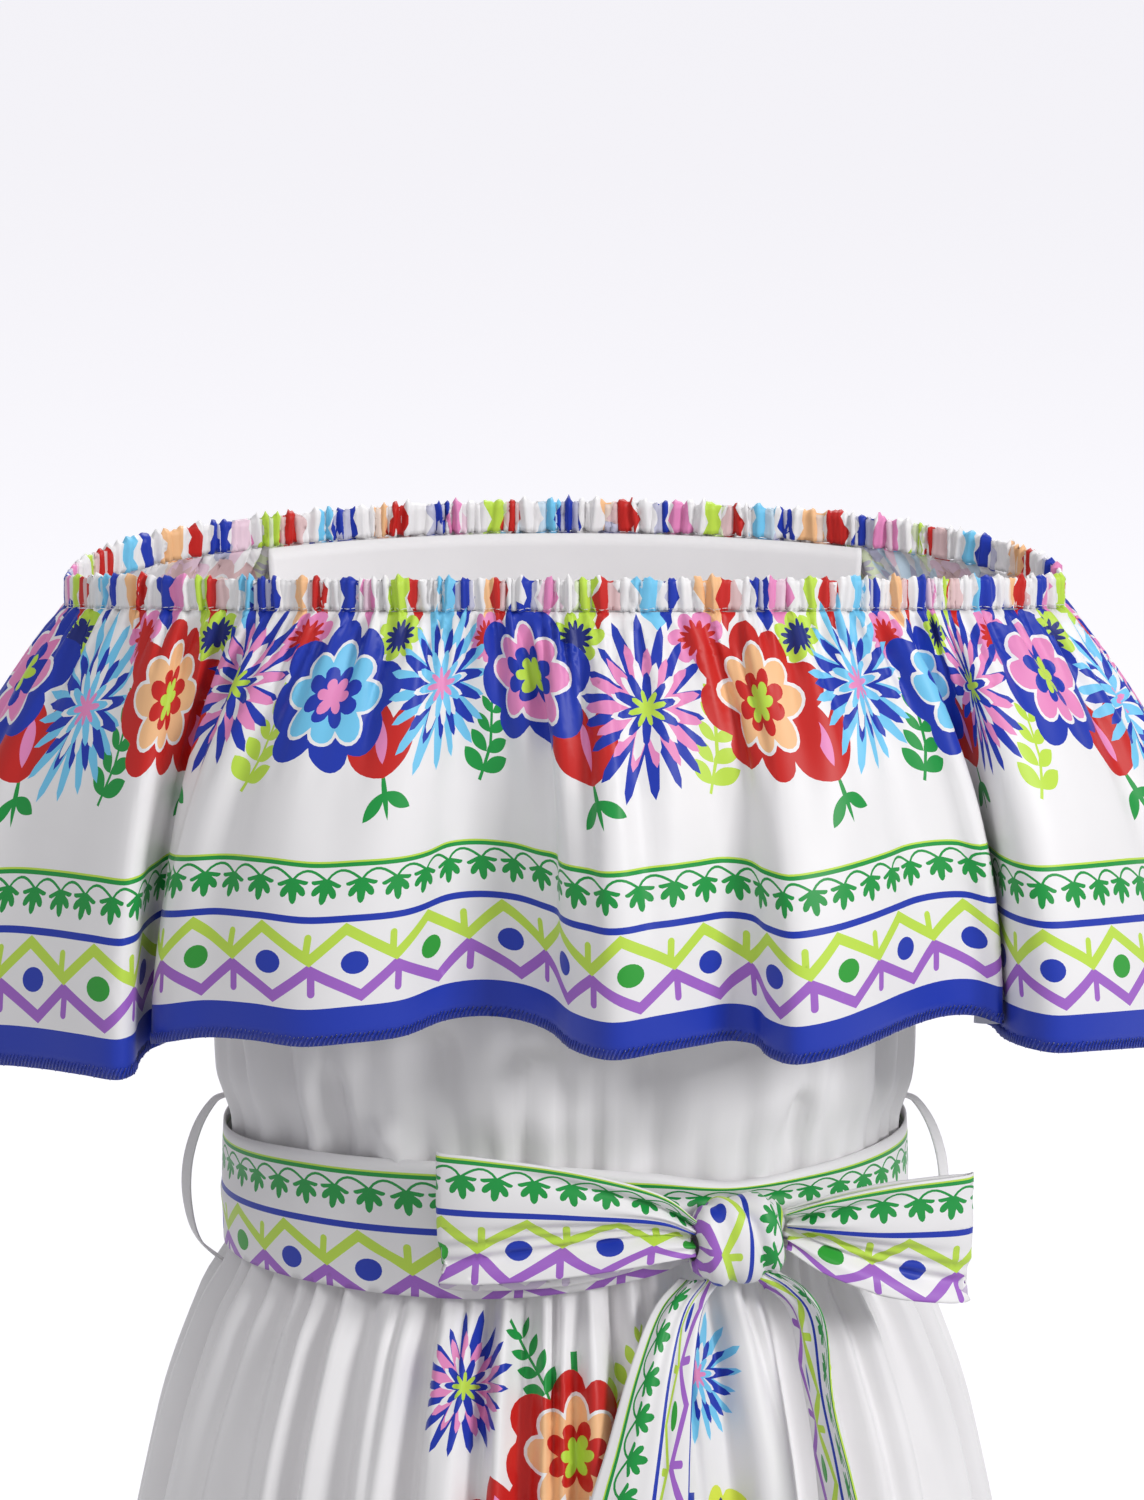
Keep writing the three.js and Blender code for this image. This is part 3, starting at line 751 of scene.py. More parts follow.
@dataclass
class Cloth:
    """A piece of cloth, cut flat and then shaped; its flat grid follows the edges of its print.

    A row of the grid holds from and up to which height it goes, and its steps along and up the cloth. The
    outward side is 1 where the shape's own normal is the right side, else -1. A ring's two ends are joined.
    """

    name: str
    node: str
    slot: str
    wide: float
    tall: float
    shape: Shape
    outward: float
    relief: Relief
    printed: Print | None
    grid: Rows
    ring: bool = False

    def lay_out(self) -> tuple[Array, Array, Array]:
        """Cuts the flat piece into triangles along the edges of its print.

        Returns:
            The flat points, the triangles, and the ink number of each triangle.
        """
        corners = np.array([(0, 0), (self.wide, 0), (self.wide, self.tall), (0, self.tall)], float)
        outline = Print()
        outline.add(Ink.WHITE, corners)
        shapes = outline.shapes + (self.printed.shapes if self.printed else [])
        low, high = corners[0] - 0.5, corners[2] + 0.5
        shapes = [s for s in shapes if (s[1].max(0) > low).all() and (s[1].min(0) < high).all()]
        loose = []
        for bottom, top, column, row in self.grid:
            columns = max(int(round(self.wide / column)), 2)
            rows = max(int(round((top - bottom) / row)), 2)
            across, up = np.linspace(0, self.wide, columns + 1), np.linspace(bottom, top, rows + 1)
            u, w = np.meshgrid(across, up)
            loose.append(np.stack([u.ravel(), w.ravel()], axis=1))
        points = np.concatenate([s[1] for s in shapes] + loose)
        sizes = np.array([len(s[1]) for s in shapes])
        starts = np.repeat(np.r_[0, np.cumsum(sizes)[:-1]], sizes)
        number = np.arange(len(starts))
        ahead = starts + (number - starts + 1) % np.repeat(sizes, sizes)
        edges = np.stack([number, ahead], axis=1).tolist()
        found = delaunay_2d_cdt([Vector(p) for p in points], edges, [], 0, SAME_POINT, False)
        flat = np.array([tuple(v) for v in found[0]])
        triangles = np.array(found[2])
        a, b, c = (flat[triangles[:, k]] for k in range(3))
        doubled = (b - a)[:, 0] * (c - a)[:, 1] - (b - a)[:, 1] * (c - a)[:, 0]
        triangles[doubled < 0] = triangles[doubled < 0][:, ::-1]
        middle = (a + b + c) / 3
        kept = (np.abs(doubled) > NO_AREA) & (middle > 0).all(axis=1) & (middle < corners[2]).all(axis=1)
        triangles, middle = triangles[kept], middle[kept]
        ink = np.zeros(len(triangles), int)
        for colour, shape in shapes[1:]:
            near = np.flatnonzero((middle > shape.min(0)).all(axis=1) & (middle < shape.max(0)).all(axis=1))
            ink[near[inside(middle[near], shape)]] = list(Ink).index(colour)
        used, places = np.unique(triangles, return_inverse=True)
        return flat[used], places.reshape(-1, 3), ink

    def bend(self, flat: Array) -> Array:
        """Takes flat points to their place on the dress: the shape, moved out along its normal by the relief.

        Args:
            flat: points of the flat cloth.

        Returns:
            Points in millimetres.
        """
        u, w = flat[:, 0], flat[:, 1]
        place, down = 2 * u / self.wide - 1, 1 - w / self.tall
        points = self.shape(place, down)
        step = 2e-3
        across = self.shape(place + step, down) - self.shape(place - step, down)
        along = self.shape(place, down + step) - self.shape(place, down - step)
        normal = np.cross(along, across) * self.outward
        normal /= np.maximum(np.linalg.norm(normal, axis=1), 1e-9)[:, None]
        return points + normal * self.relief(u, w)[:, None]

    def sew(self, finishes: Sequence[bpy.types.Material]) -> bpy.types.Object:
        """Builds the piece as a wall of cloth that replaces its node.

        Args:
            finishes: the materials of its right side and its wrong side.

        Returns:
            The finished object.
        """
        flat, triangles, ink = self.lay_out()
        points = self.bend(flat) * MM
        if self.outward < 0:
            triangles = triangles[:, ::-1]
        mesh = bpy.data.meshes.new(self.name)
        mesh.from_pydata(points.tolist(), [], triangles.tolist())
        if self.printed:
            palette = np.array([linear(shade.value) for shade in Ink])
            colour = mesh.attributes.new("print", "FLOAT_COLOR", "CORNER")
            colour.data.foreach_set("color", np.repeat(palette[ink], 3, axis=0).ravel())
        flat_map = mesh.uv_layers.new(name="flat")
        flat_map.data.foreach_set("uv", (flat[triangles.ravel()] / 100).ravel())
        piece = bpy.data.objects.new(self.name, mesh)
        bpy.context.collection.objects.link(piece)
        if self.ring:
            close_ring(piece)
        mesh.polygons.foreach_set("use_smooth", np.ones(len(mesh.polygons), bool))
        for finish in finishes:
            mesh.materials.append(finish)
        wall = piece.modifiers.new("wall", "SOLIDIFY")
        wall.thickness = CLOTH_THICK * MM
        wall.offset = -1
        wall.material_offset = len(finishes) - 1
        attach(piece, "root")
        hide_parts(self.node)
        log.info("%s: %d triangles before its thickness", self.name, len(mesh.polygons))
        return piece


def close_ring(piece: bpy.types.Object) -> None:
    """Joins the two ends of a piece that goes all the way round.

    Args:
        piece: the object.
    """
    edit = bmesh.new()
    edit.from_mesh(piece.data)
    bmesh.ops.remove_doubles(edit, verts=edit.verts, dist=2e-5)
    edit.to_mesh(piece.data)
    edit.free()


def stitches(name: str, lines: Sequence[Array], thick: float, finish: bpy.types.Material) -> bpy.types.Object:
    """Sews threads: thin tubes with four sides along lines, each closed at its ends.

    The tube's ring at a point is the point + thick (cos a p + sin a q), where p and q are square to the line.

    Args:
        name: the object's name.
        lines: one array of points for each thread, all with as many points, in millimetres.
        thick: the thread's radius.
        finish: its material.

    Returns:
        The object, one mesh for all the threads.
    """
    paths = np.stack(lines)
    count, length, _ = paths.shape
    ahead = np.gradient(paths, axis=1)
    ahead /= np.maximum(np.linalg.norm(ahead, axis=2), 1e-9)[..., None]
    up = np.where(np.abs(ahead[..., 2:3]) > 0.9, np.array([1.0, 0, 0]), np.array([0, 0, 1.0]))
    p = np.cross(ahead, up)
    p /= np.linalg.norm(p, axis=2)[..., None]
    q = np.cross(ahead, p)
    turn = np.arange(4) * math.pi / 2
    ring = p[:, :, None] * np.cos(turn)[:, None] + q[:, :, None] * np.sin(turn)[:, None]
    radius = np.full(length, thick)
    radius[[0, -1]] *= 0.6
    points = (paths[:, :, None] + ring * radius[:, None, None]).reshape(-1, 3) * MM
    i, j, k = np.meshgrid(np.arange(count), np.arange(length - 1), np.arange(4), indexing="ij")
    base = (i * length + j) * 4
    sides = np.stack([base + k, base + (k + 1) % 4, base + 4 + (k + 1) % 4, base + 4 + k], axis=-1)
    first = np.arange(count)[:, None] * length * 4
    ends = np.r_[first + [3, 2, 1, 0], first + (length - 1) * 4 + [0, 1, 2, 3]]
    mesh = bpy.data.meshes.new(name)
    mesh.from_pydata(points.tolist(), [], np.r_[sides.reshape(-1, 4), ends].tolist())
    mesh.polygons.foreach_set("use_smooth", np.ones(len(mesh.polygons), bool))
    mesh.materials.append(finish)
    piece = bpy.data.objects.new(name, mesh)
    bpy.context.collection.objects.link(piece)
    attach(piece, "root")
    log.info("%s: %d threads", name, count)
    return piece


def hem_line(rows: Sequence[Sequence[float]]) -> tuple[Table, float]:
    """A hem's rows with their place along it, from -1 to 1 by the length of its cloth.

    Args:
        rows: x, y, z and the place on the casing that each point hangs from.

    Returns:
        The table, and the hem's length.
    """
    points = np.array(rows, float)
    steps = np.linalg.norm(np.diff(points[:, :3], axis=0), axis=1)
    length = np.r_[0, np.cumsum(steps)]
    at = 2 * length / length[-1] - 1
    return Table(("at", "x", "y", "z", "top"), np.c_[at, points]), float(length[-1])


FRONT_HEM, FRONT_LONG = hem_line(
    [
        (-311, 0, -219, -1), (-304, -26, -221, -0.943), (-286, -50, -218, -0.881),
        (-257, -70, -209, -0.8), (-236, -86, -205, -0.752), (-216, -103, -202, -0.706),
        (-200, -113, -201, -0.672), (-193, -106, -201, -0.65), (-191, -88, -201, -0.618),
        (-187, -72, -201, -0.588), (-181.5, -70, -199, -0.573), (-182.5, -80, -195, -0.55),
        (-185, -95, -190, -0.515), (-179, -111, -184, -0.47), (-160, -124, -177, -0.417),
        (-139, -139, -173, -0.363), (-117, -151, -172, -0.311), (-95, -152, -170, -0.267),
        (-72, -143, -170, -0.22), (-53, -124, -169, -0.163), (-36, -115, -170, -0.134),
        (-20, -115, -172, -0.111), (-7, -127, -173, -0.085), (4, -153, -173, -0.02),
        (21, -169, -172, 0.035), (43, -161, -171, 0.103), (60, -149, -172, 0.161), (73, -140, -173, 0.2),
        (84, -142, -174, 0.232), (90, -156, -175, 0.265), (101, -169, -174, 0.306),
        (118, -163, -173, 0.343), (135, -147, -172, 0.394), (153, -124, -172, 0.455),
        (169, -107, -173, 0.502), (183, -100, -175, 0.53), (194, -102, -178, 0.548),
        (196, -96, -180, 0.557), (191, -85, -184, 0.572), (185, -72, -188, 0.588),
        (187, -65, -190, 0.598), (192, -68, -191, 0.607), (195.5, -84, -190, 0.624),
        (199, -101, -187, 0.642), (207, -116, -185, 0.662), (218, -122, -185, 0.684),
        (234, -114, -187, 0.716), (260, -86, -195, 0.79), (287, -50, -206, 0.88),
        (305, -24, -212, 0.948), (311, 0, -215, 1),
    ]
)
BACK_HEM, BACK_LONG = hem_line(
    [
        (-311, 0, -219, -1), (-303, 22, -218, -0.943), (-287, 40, -216, -0.888),
        (-276, 68, -213, -0.812), (-256, 94, -211, -0.731), (-229, 94, -209, -0.659),
        (-201, 90, -208, -0.591), (-170, 119, -206, -0.486), (-136, 147, -205, -0.378),
        (-110, 133, -204, -0.305), (-85, 119, -204, -0.235), (-50, 141, -203, -0.134),
        (-13, 162, -203, -0.032), (21, 143, -203, 0.062), (53, 122, -203, 0.154), (79, 138, -204, 0.229),
        (106, 154, -204, 0.306), (142, 127, -205, 0.414), (175, 98, -206, 0.52), (206, 104, -207, 0.598),
        (239, 107, -209, 0.679), (264, 79, -211, 0.773), (282, 48, -213, 0.863), (302, 26, -215, 0.93),
        (311, 0, -215, 1),
    ]
)


@dataclass
class Flounce:
    """The elastic casing of the neckline and the deep flounce below it, front and back."""

    finishes: Finishes
    over_top: float = 18.0
    casing_flat: float = 31.0
    fold_radius: float = 1.43
    seam_fade: float = 14.0
    # u at the casing, how far the crease leans, its length, its depth and its width.
    front_creases: Rows = (
        (86, -14, 60, -1.4, 2.6), (106, -16, 44, -1.6, 2.6), (137, -9, 52, -1.8, 2.6),
        (152, -7, 30, -1.5, 2.2), (167, -7, 40, -1.6, 2.4), (182, -6, 64, -1.8, 2.8),
        (196, -5, 36, -1.6, 2.4), (213, -6, 70, 1.9, 4.0), (225, -12, 150, -4.4, 4.2),
        (247, -3, 66, -1.8, 3.0), (261, -3, 36, -1.6, 2.4), (272, -2, 50, -1.6, 2.4),
        (294, -3, 84, -1.7, 3.2), (318, -2, 34, -1.5, 2.4), (331, 0, 46, -1.7, 2.4),
        (349, 2, 92, -2.4, 3.4), (365, 0, 40, -1.6, 2.4), (381, 1, 30, -1.4, 2.2),
        (397, 2, 74, -2.0, 3.2), (420, 1, 44, -1.4, 2.6), (449, 2, 40, -1.6, 2.4),
        (470, 12, 150, -3.4, 4.4), (489, 1, 44, -1.6, 2.4), (508, -3, 118, -3.0, 3.4),
        (520, 0, 38, -1.4, 2.2), (533, 2, 56, -1.6, 2.8), (548, 3, 36, -1.5, 2.2),
        (570, 5, 60, -1.7, 2.6), (584, 14, 126, -3.0, 3.8), (606, 9, 96, -2.4, 3.2),
        (625, 3, 36, -1.5, 2.4), (641, 5, 44, -1.5, 2.4), (660, 7, 80, -1.9, 3.0),
        (680, 8, 42, -1.6, 2.4), (697, 10, 36, -1.4, 2.2), (714, 12, 60, -1.7, 2.8),
        (742, 12, 44, -1.5, 2.4), (770, 8, 150, -3.6, 4.4), (791, 4, 50, -1.6, 2.6),
        (818, 6, 34, -1.5, 2.2), (848, 10, 66, -1.9, 3.0), (872, 10, 36, -1.4, 2.2),
        (897, 13, 56, -1.7, 2.8), (934, 15, 44, -1.5, 2.4), (962, 14, 36, -1.3, 2.4),
    )
    back_creases: Rows = (
        (60, -8, 60, -1.8, 3.0), (104, -6, 38, -1.5, 2.4), (141, -4, 90, -2.6, 3.6),
        (188, -3, 44, -1.6, 2.6), (232, 2, 66, -1.9, 3.0), (281, -4, 110, -2.8, 3.8),
        (322, 1, 40, -1.5, 2.4), (366, 3, 78, -2.1, 3.0), (410, 0, 50, -1.6, 2.6),
        (452, -3, 120, -2.9, 4.0), (503, 2, 42, -1.6, 2.4), (548, 4, 70, -1.9, 3.0),
        (596, 5, 100, -2.7, 3.6), (641, 6, 46, -1.5, 2.6), (688, 8, 64, -1.8, 2.8),
        (736, 9, 40, -1.5, 2.4), (780, 10, 60, -1.8, 3.0),
    )
    band_inks: tuple[Ink | None, ...] = (
        Ink.BLUE, Ink.PINK, None, Ink.LIME, Ink.RED, None, Ink.SKY, Ink.BLUE, None, Ink.PEACH, Ink.RED, None,
    )
    round_inks: tuple[tuple[Ink, Ink, Ink], ...] = (
        (Ink.BLUE, Ink.PINK, Ink.LIME), (Ink.RED, Ink.PEACH, Ink.LIME), (Ink.BLUE, Ink.SKY, Ink.PINK),
    )
    pointed_inks: tuple[tuple[Ink, Ink, Ink], ...] = (
        (Ink.SKY, Ink.BLUE, Ink.PINK), (Ink.BLUE, Ink.PINK, Ink.LIME),
    )

    @staticmethod
    def hem(side: Side) -> tuple[Table, float]:
        """The hem's table and length on a side."""
        return (FRONT_HEM, FRONT_LONG) if side is Side.FRONT else (BACK_HEM, BACK_LONG)

    @staticmethod
    def pucker(s: Array) -> Array:
        """The elastic's puckers: waves and a weaker overtone, uneven in width and depth.

        Args:
            s: places on the casing, from -1 to 1.

        Returns:
            The heights.
        """
        phase = 73 * s + 1.7 * np.sin(5.3 * s + 0.7) + 0.55 * np.sin(61 * s) + 0.36 * np.sin(97 * s + 2)
        small = np.cos(math.pi * phase) + 0.34 * np.cos(2.6 * math.pi * phase + 1)
        deep = 1.35 + 0.35 * np.sin(23 * s + 1) + 0.4 * np.sin(57 * s)
        return deep * small + 0.3 * gathers(177, s, 1.4) + 0.6 * gathers(25, s, 2.3) - 0.3

    @staticmethod
    def pinch(above: Array) -> Array:
        """How far the row of stitches under the elastic draws the cloth in, by the height above the hem."""
        return -0.55 * np.exp(-(((above - FLOUNCE_DEEP - 1.2) / 2.2) ** 2))

    def hang(self, side: Side, place: Array, down: Array) -> Array:
        """The flounce: a quarter of a sine outwards from the casing to the hem, and close to an even drop.

        Args:
            side: the front or the back.
            place: places along it, from -1 to 1.
            down: shares of the way down it.

        Returns:
            The points.
        """
        table, _ = self.hem(side)
        angle = NECK.walk(side, table.read("top", place))
        plan = NECK.at(angle, side)
        start = neck_top(angle, side) - CASING_HEIGHT
        spread = np.sin(math.pi / 2 * down)
        fall = down - 0.1 * np.sin(math.pi * down) / math.pi
        x = lerp(plan[:, 0], table.read("x", place), spread)
        y = lerp(plan[:, 1], table.read("y", place), spread)
        return np.stack([x, y, lerp(start, table.read("z", place), fall)], axis=1)

    def casing(self, side: Side, place: Array, down: Array) -> Array:
        """The casing: up outside, round the top in a half circle and down inside.

        Args:
            side: the front or the back.
            place: places along it, from -1 to 1.
            down: shares of the way down it.

        Returns:
            The points.
        """
        table, _ = self.hem(side)
        angle = NECK.walk(side, table.read("top", place))
        v = (1 - down) * self.casing_flat
        bend_from = self.over_top - math.pi * self.fold_radius
        phi = np.clip((v - bend_from) / self.fold_radius, 0, math.pi)
        out = self.fold_radius * (np.cos(phi) - 1)
        z = np.minimum(v, bend_from) - bend_from + self.fold_radius * (np.sin(phi) - 1)
        z = z - np.maximum(v - self.over_top, 0) + bend_from - CASING_HEIGHT + self.fold_radius
        plan = NECK.at(angle, side, out)
        return np.c_[plan, neck_top(angle, side) + z]

    def rumples(self, side: Side, u: Array, w: Array) -> Array:
        """The flounce's relief: the elastic's puckers die out, soft gathers rise and fall, creases run down.

        Args:
            side: the front or the back.
            u: places along the cloth.
            w: places up the cloth.

        Returns:
            The heights.
        """
        table, long = self.hem(side)
        rows = self.front_creases if side is Side.FRONT else self.back_creases
        top = FLOUNCE_DEEP + 1
        creases = [Crease((u, top), (u + lean, top - drop), deep, wide) for u, lean, drop, deep, wide in rows]
        s = table.read("top", 2 * u / long - 1)
        below = FLOUNCE_DEEP - w
        fading = 0.66 * np.exp(-((below / 11) ** 2)) + 0.34 * np.exp(-((below / 34) ** 2))
        soft = 0.3 * below * np.exp(-below / 19) * folds(37, s, 1.9)
        broad = 2.4 * ramp(below, 8, 60) * (1 - ramp(below, 90, 185)) * folds(15, s, 1.2)
        height = self.pucker(s) * fading + soft + broad + self.pinch(w) + 1.9 * creased(creases, u, w)
        clear_of_bodice = 1.0 + 0.12 * np.maximum(below, 0)
        return np.maximum(height, -clear_of_bodice) * off_ends(u, long, self.seam_fade)

    def casing_rumples(self, side: Side, u: Array, w: Array) -> Array:
        """The casing's relief: its puckers, drawn in a little where it is stitched.

        Args:
            side: the front or the back.
            u: places along the cloth.
            w: places up the cloth.

        Returns:
            The heights.
        """
        table, long = self.hem(side)
        s = table.read("top", 2 * u / long - 1)
        leaning = s + 0.0004 * w * np.sin(37 * s)
        return (self.pucker(leaning) + self.pinch(w + FLOUNCE_DEEP)) * off_ends(u, long, self.seam_fade)

    def garland(self, long: float, repeats: int) -> Print:
        """Prints one side: an even repeat of flowers and sprigs, the bands over the casing, and the border.

        Args:
            long: the length of the cloth.
            repeats: how many times the flowers repeat along it.

        Returns:
            The print.
        """
        cloth = self.over_casing(long)
        Border().draw(cloth, 0, long)
        step = long / repeats
        for k in range(repeats):
            u, sway = (k + 0.25) * step, 6 * math.cos(2.1 * k)
            Motif((u + 0.25 * step, 138), 0.8, 0.85, 14).tulip(cloth, Ink.RED, Ink.PINK)
            Motif((u + 0.75 * step, 140), 0.85, 0.8, -12).sprig(cloth, Ink.LIME if k % 2 else Ink.GREEN)
            Motif((u + 0.25 * step, 188), 0.8, 0.6).daisy(cloth, Ink.LIME, Ink.NAVY)
            Motif((u + 0.75 * step, 187), 0.85, 0.65, 20).daisy(cloth, Ink.PINK, Ink.RED)
            Motif((u, 162 + sway), 0.86, 0.86).rosette(cloth, *self.round_inks[k % 3])
            Motif((u + 0.5 * step, 160 - sway), 0.84, 0.88, 9).aster(cloth, *self.pointed_inks[k % 2])
        return cloth

    def over_casing(self, long: float) -> Print:
        """Prints the parts of flowers that are gathered up into the casing, as upright bands with wavy edges.

        Args:
            long: the length of the cloth.

        Returns:
            The print.
        """
        cloth = Print()
        w = np.linspace(FLOUNCE_DEEP - 9, FLOUNCE_DEEP + self.casing_flat + 2, 12)
        count = round(long / 13)
        for k in range(count):
            ink = self.band_inks[k % len(self.band_inks)]
            if ink is None:
                continue
            lean = 0.22 * math.sin(1.9 * k + 1) * (w - FLOUNCE_DEEP)
            wavy = 1 + 0.22 * np.sin(0.33 * w + 2.1 * k)
            half = (6.2 + 2.2 * math.sin(1.7 * k)) * ramp(w, w[0] - 1, w[0] + 9) * wavy
            middle = (k + 0.5) * long / count + 2.5 * math.sin(2.3 * k) + lean + 1.5 * np.sin(0.5 * w + k)
            cloth.add(ink, np.r_[np.stack([middle + half, w], 1), np.stack([middle - half, w], 1)[::-1]])
        return cloth

    def build(self) -> list[bpy.types.Object]:
        """Sews the casing, the flounce and their stitches.

        Returns:
            The pieces of cloth.
        """
        made = []
        for side, word in ((Side.FRONT, "front"), (Side.BACK, "back")):
            _, long = self.hem(side)
            printed = self.garland(long, 7 if side is Side.FRONT else 6)
            above = Print()
            above.shapes = [(ink, p - (0, FLOUNCE_DEEP)) for ink, p in printed.shapes]
            satin = (self.finishes.printed, self.finishes.print_inside)
            flounce = Cloth(
                f"flounce_{word}_satin", f"flounce_{word}", "printed_satin", long, FLOUNCE_DEEP,
                partial(self.hang, side), side.value, partial(self.rumples, side), printed,
                ((0, 120, 4.5, 7), (120, FLOUNCE_DEEP, 2.4, 4.2)),
            )
            casing = Cloth(
                f"casing_{word}_satin", f"casing_{word}", "printed_satin", long, self.casing_flat,
                partial(self.casing, side), side.value, partial(self.casing_rumples, side), above,
                ((0, self.casing_flat, 1.5, 2.2),),
            )
            for cloth in (flounce, casing):
                piece = cloth.sew(satin)
                sewn = self.threads(cloth, side, word)
                made.append(piece)
        return made

    def threads(self, cloth: Cloth, side: Side, word: str) -> bpy.types.Object:
        """Sews the overlocked edge of the flounce, or the line of stitches below the elastic.

        Args:
            cloth: the flounce or the casing.
            side: the front or the back.
            word: the side's name.

        Returns:
            The threads.
        """
        table, long = self.hem(side)
        if cloth.tall == FLOUNCE_DEEP:
            k = np.arange(int(long / 2.1))[:, None]
            u = k * 2.1 + np.array([0.3, 1.1, 2.3])
            w = np.array([[0.2, 2.4, 4.6]]) + 0.3 * np.sin(1.7 * k)
            lines = raised(cloth, u, w, 0.25)
            return stitches(f"hem_overlock_{word}", lines, 0.42, self.finishes.blue_thread)
        places = np.linspace(-1, 1, 4001)
        spread = np.interp(np.linspace(-0.995, 0.995, 168), table.read("top", places), places)
        middle = (spread[:-1] + 1) / 2 * long
        step = np.diff(spread) / 2 * long
        u = middle[:, None] + step[:, None] * np.array([0.1, 0.4, 0.6, 0.88])
        lines = raised(cloth, u, np.full_like(u, 1.2), 0.12)
        return stitches(f"casing_stitches_{word}", lines, 0.2, self.finishes.white_thread)


def raised(cloth: Cloth, u: Array, w: Array, by: float) -> list[Array]:
    """Lines of points on a piece of cloth, lifted off it along its normal.

    Args:
        cloth: the piece.
        u: places along it, one row for each line.
        w: places up it.
        by: how far they are lifted.

    Returns:
        One array of points for each line.
    """
    flat = np.stack([u.ravel(), w.ravel()], axis=1)
    lifted = replace(cloth, relief=lambda a, b: cloth.relief(a, b) + by)
    return list(lifted.bend(flat).reshape(*u.shape, 3))


BODICE = Table(
    ("down", "half_width", "front", "back", "reach"),
    [
        (0.0, 222.4, 104.4, 100.4, 0.66), (0.12, 195, 103.5, 100.5, 0.77), (0.22, 172, 104.5, 101, 0.97),
        (0.3, 156, 105.5, 102, 1.24), (0.36, 151, 106, 102.5, math.pi / 2), (0.6, 158, 107, 104, math.pi / 2),
        (0.8, 159, 108, 104.5, math.pi / 2), (0.885, 152, 102.6, 100, math.pi / 2),
        (1.0, 151.6, 102, 99.5, math.pi / 2),
    ],
)
SKIRT = Table(
    ("down", "half_width", "front", "back", "fold"),
    [
        (0.0, 151.6, 102, 99.5, 2.2), (0.04, 152, 102.8, 100.5, 2.6), (0.075, 165, 117, 114, 5),
        (0.15, 184, 137, 132, 7), (0.35, 214, 168, 161, 8.6), (0.65, 247, 204, 198, 10.5),
        (1.0, 278, 238, 232, 12),
    ],
)


def section(table: Table, down: Array) -> Oval:
    """The level section of the bodice or the skirt at some heights."""
    return Oval(table.read("half_width", down), table.read("front", down), table.read("back", down))


@dataclass
class Bodice:
    """The plain bodice: hung inside the flounce, cut away for the arms and gathered into the waist."""

    finishes: Finishes
    wide: float = 440.0
    tall: float = 268.0
    seam_fade: float = 10.0
    # u and w where a crease starts and where it ends, its depth, its width and how slow its lee is.
    front_creases: Rows = (
        (168, 96, 172, 20, -3.4, 6.0, 1.6), (82, 90, 96, 16, -2.4, 6.0, 1.5),
        (118, 70, 124, 10, -2.0, 5.0, 1.4), (206, 84, 228, 30, -2.6, 8.0, 1.6),
        (258, 90, 246, 4, -2.6, 8.0, 1.5), (298, 96, 280, 20, -2.2, 8.0, 1.4),
        (352, 84, 344, 14, -2.2, 5.0, 1.4), (380, 96, 376, 20, -1.8, 4.0, 1.3),
        (48, 84, 60, 20, -1.8, 5.0, 1.4), (326, 60, 318, 8, -1.6, 4.0, 1.3),
        (144, 50, 150, 8, 1.8, 5.0, 1.3), (404, 90, 402, 20, -1.8, 4.0, 1.3),
    )

    @staticmethod
    def shape(side: Side, place: Array, down: Array) -> Array:
        """The bodice: angle = place times the reach, and height down from the casing to the waist seam.

        Args:
            side: the front or the back.
            place: places along it, from -1 to 1.
            down: shares of the way down it.

        Returns:
            The points.
        """
        angle = place * np.minimum(BODICE.read("reach", down), math.pi / 2)
        plan = section(BODICE, down).at(angle, side)
        top = neck_top(angle, side) - CASING_HEIGHT - 0.4
        return np.c_[plan, lerp(top, waist_line(angle, side), down)]

    def rumples(self, side: Side, u: Array, w: Array) -> Array:
        """The bodice's relief: gathers that grow towards the waist, and on the front long soft creases.

        Args:
            side: the front or the back.
            u: places along the cloth.
            w: places up the cloth.

        Returns:
            The heights.
        """
        creases = [Crease(row[:2], row[2:4], *row[4:], False) for row in self.front_creases]
        place, down = 2 * u / self.wide - 1, 1 - w / self.tall
        into = np.clip((down - 0.55) / 0.45, 0, 1)
        height = 2.4 * into**2 * gathers(10, place, 0.7) + 1.6 * into**2 * folds(31, place, 1.3)
        height += 1.5 * folds(11, place, 2.0) * ramp(down, 0.1, 0.6)
        if side is Side.FRONT:
            height += 4.0 * creased(creases, u, w)
        return height * off_ends(u, self.wide, self.seam_fade)

    def build(self) -> list[bpy.types.Object]:
        """Sews the front and the back.

        Returns:
            The pieces.
        """
        made = []
        for side, word in ((Side.FRONT, "front"), (Side.BACK, "back")):
            cloth = Cloth(
                f"bodice_{word}_satin", f"bodice_{word}", "white_satin", self.wide, self.tall,
                partial(self.shape, side), side.value, partial(self.rumples, side), None,
                ((0, 110, 2.8, 3.5), (110, self.tall, 5, 6)),
            )
            piece = cloth.sew((self.finishes.white, self.finishes.white_inside))
            made.append(piece)
        return made


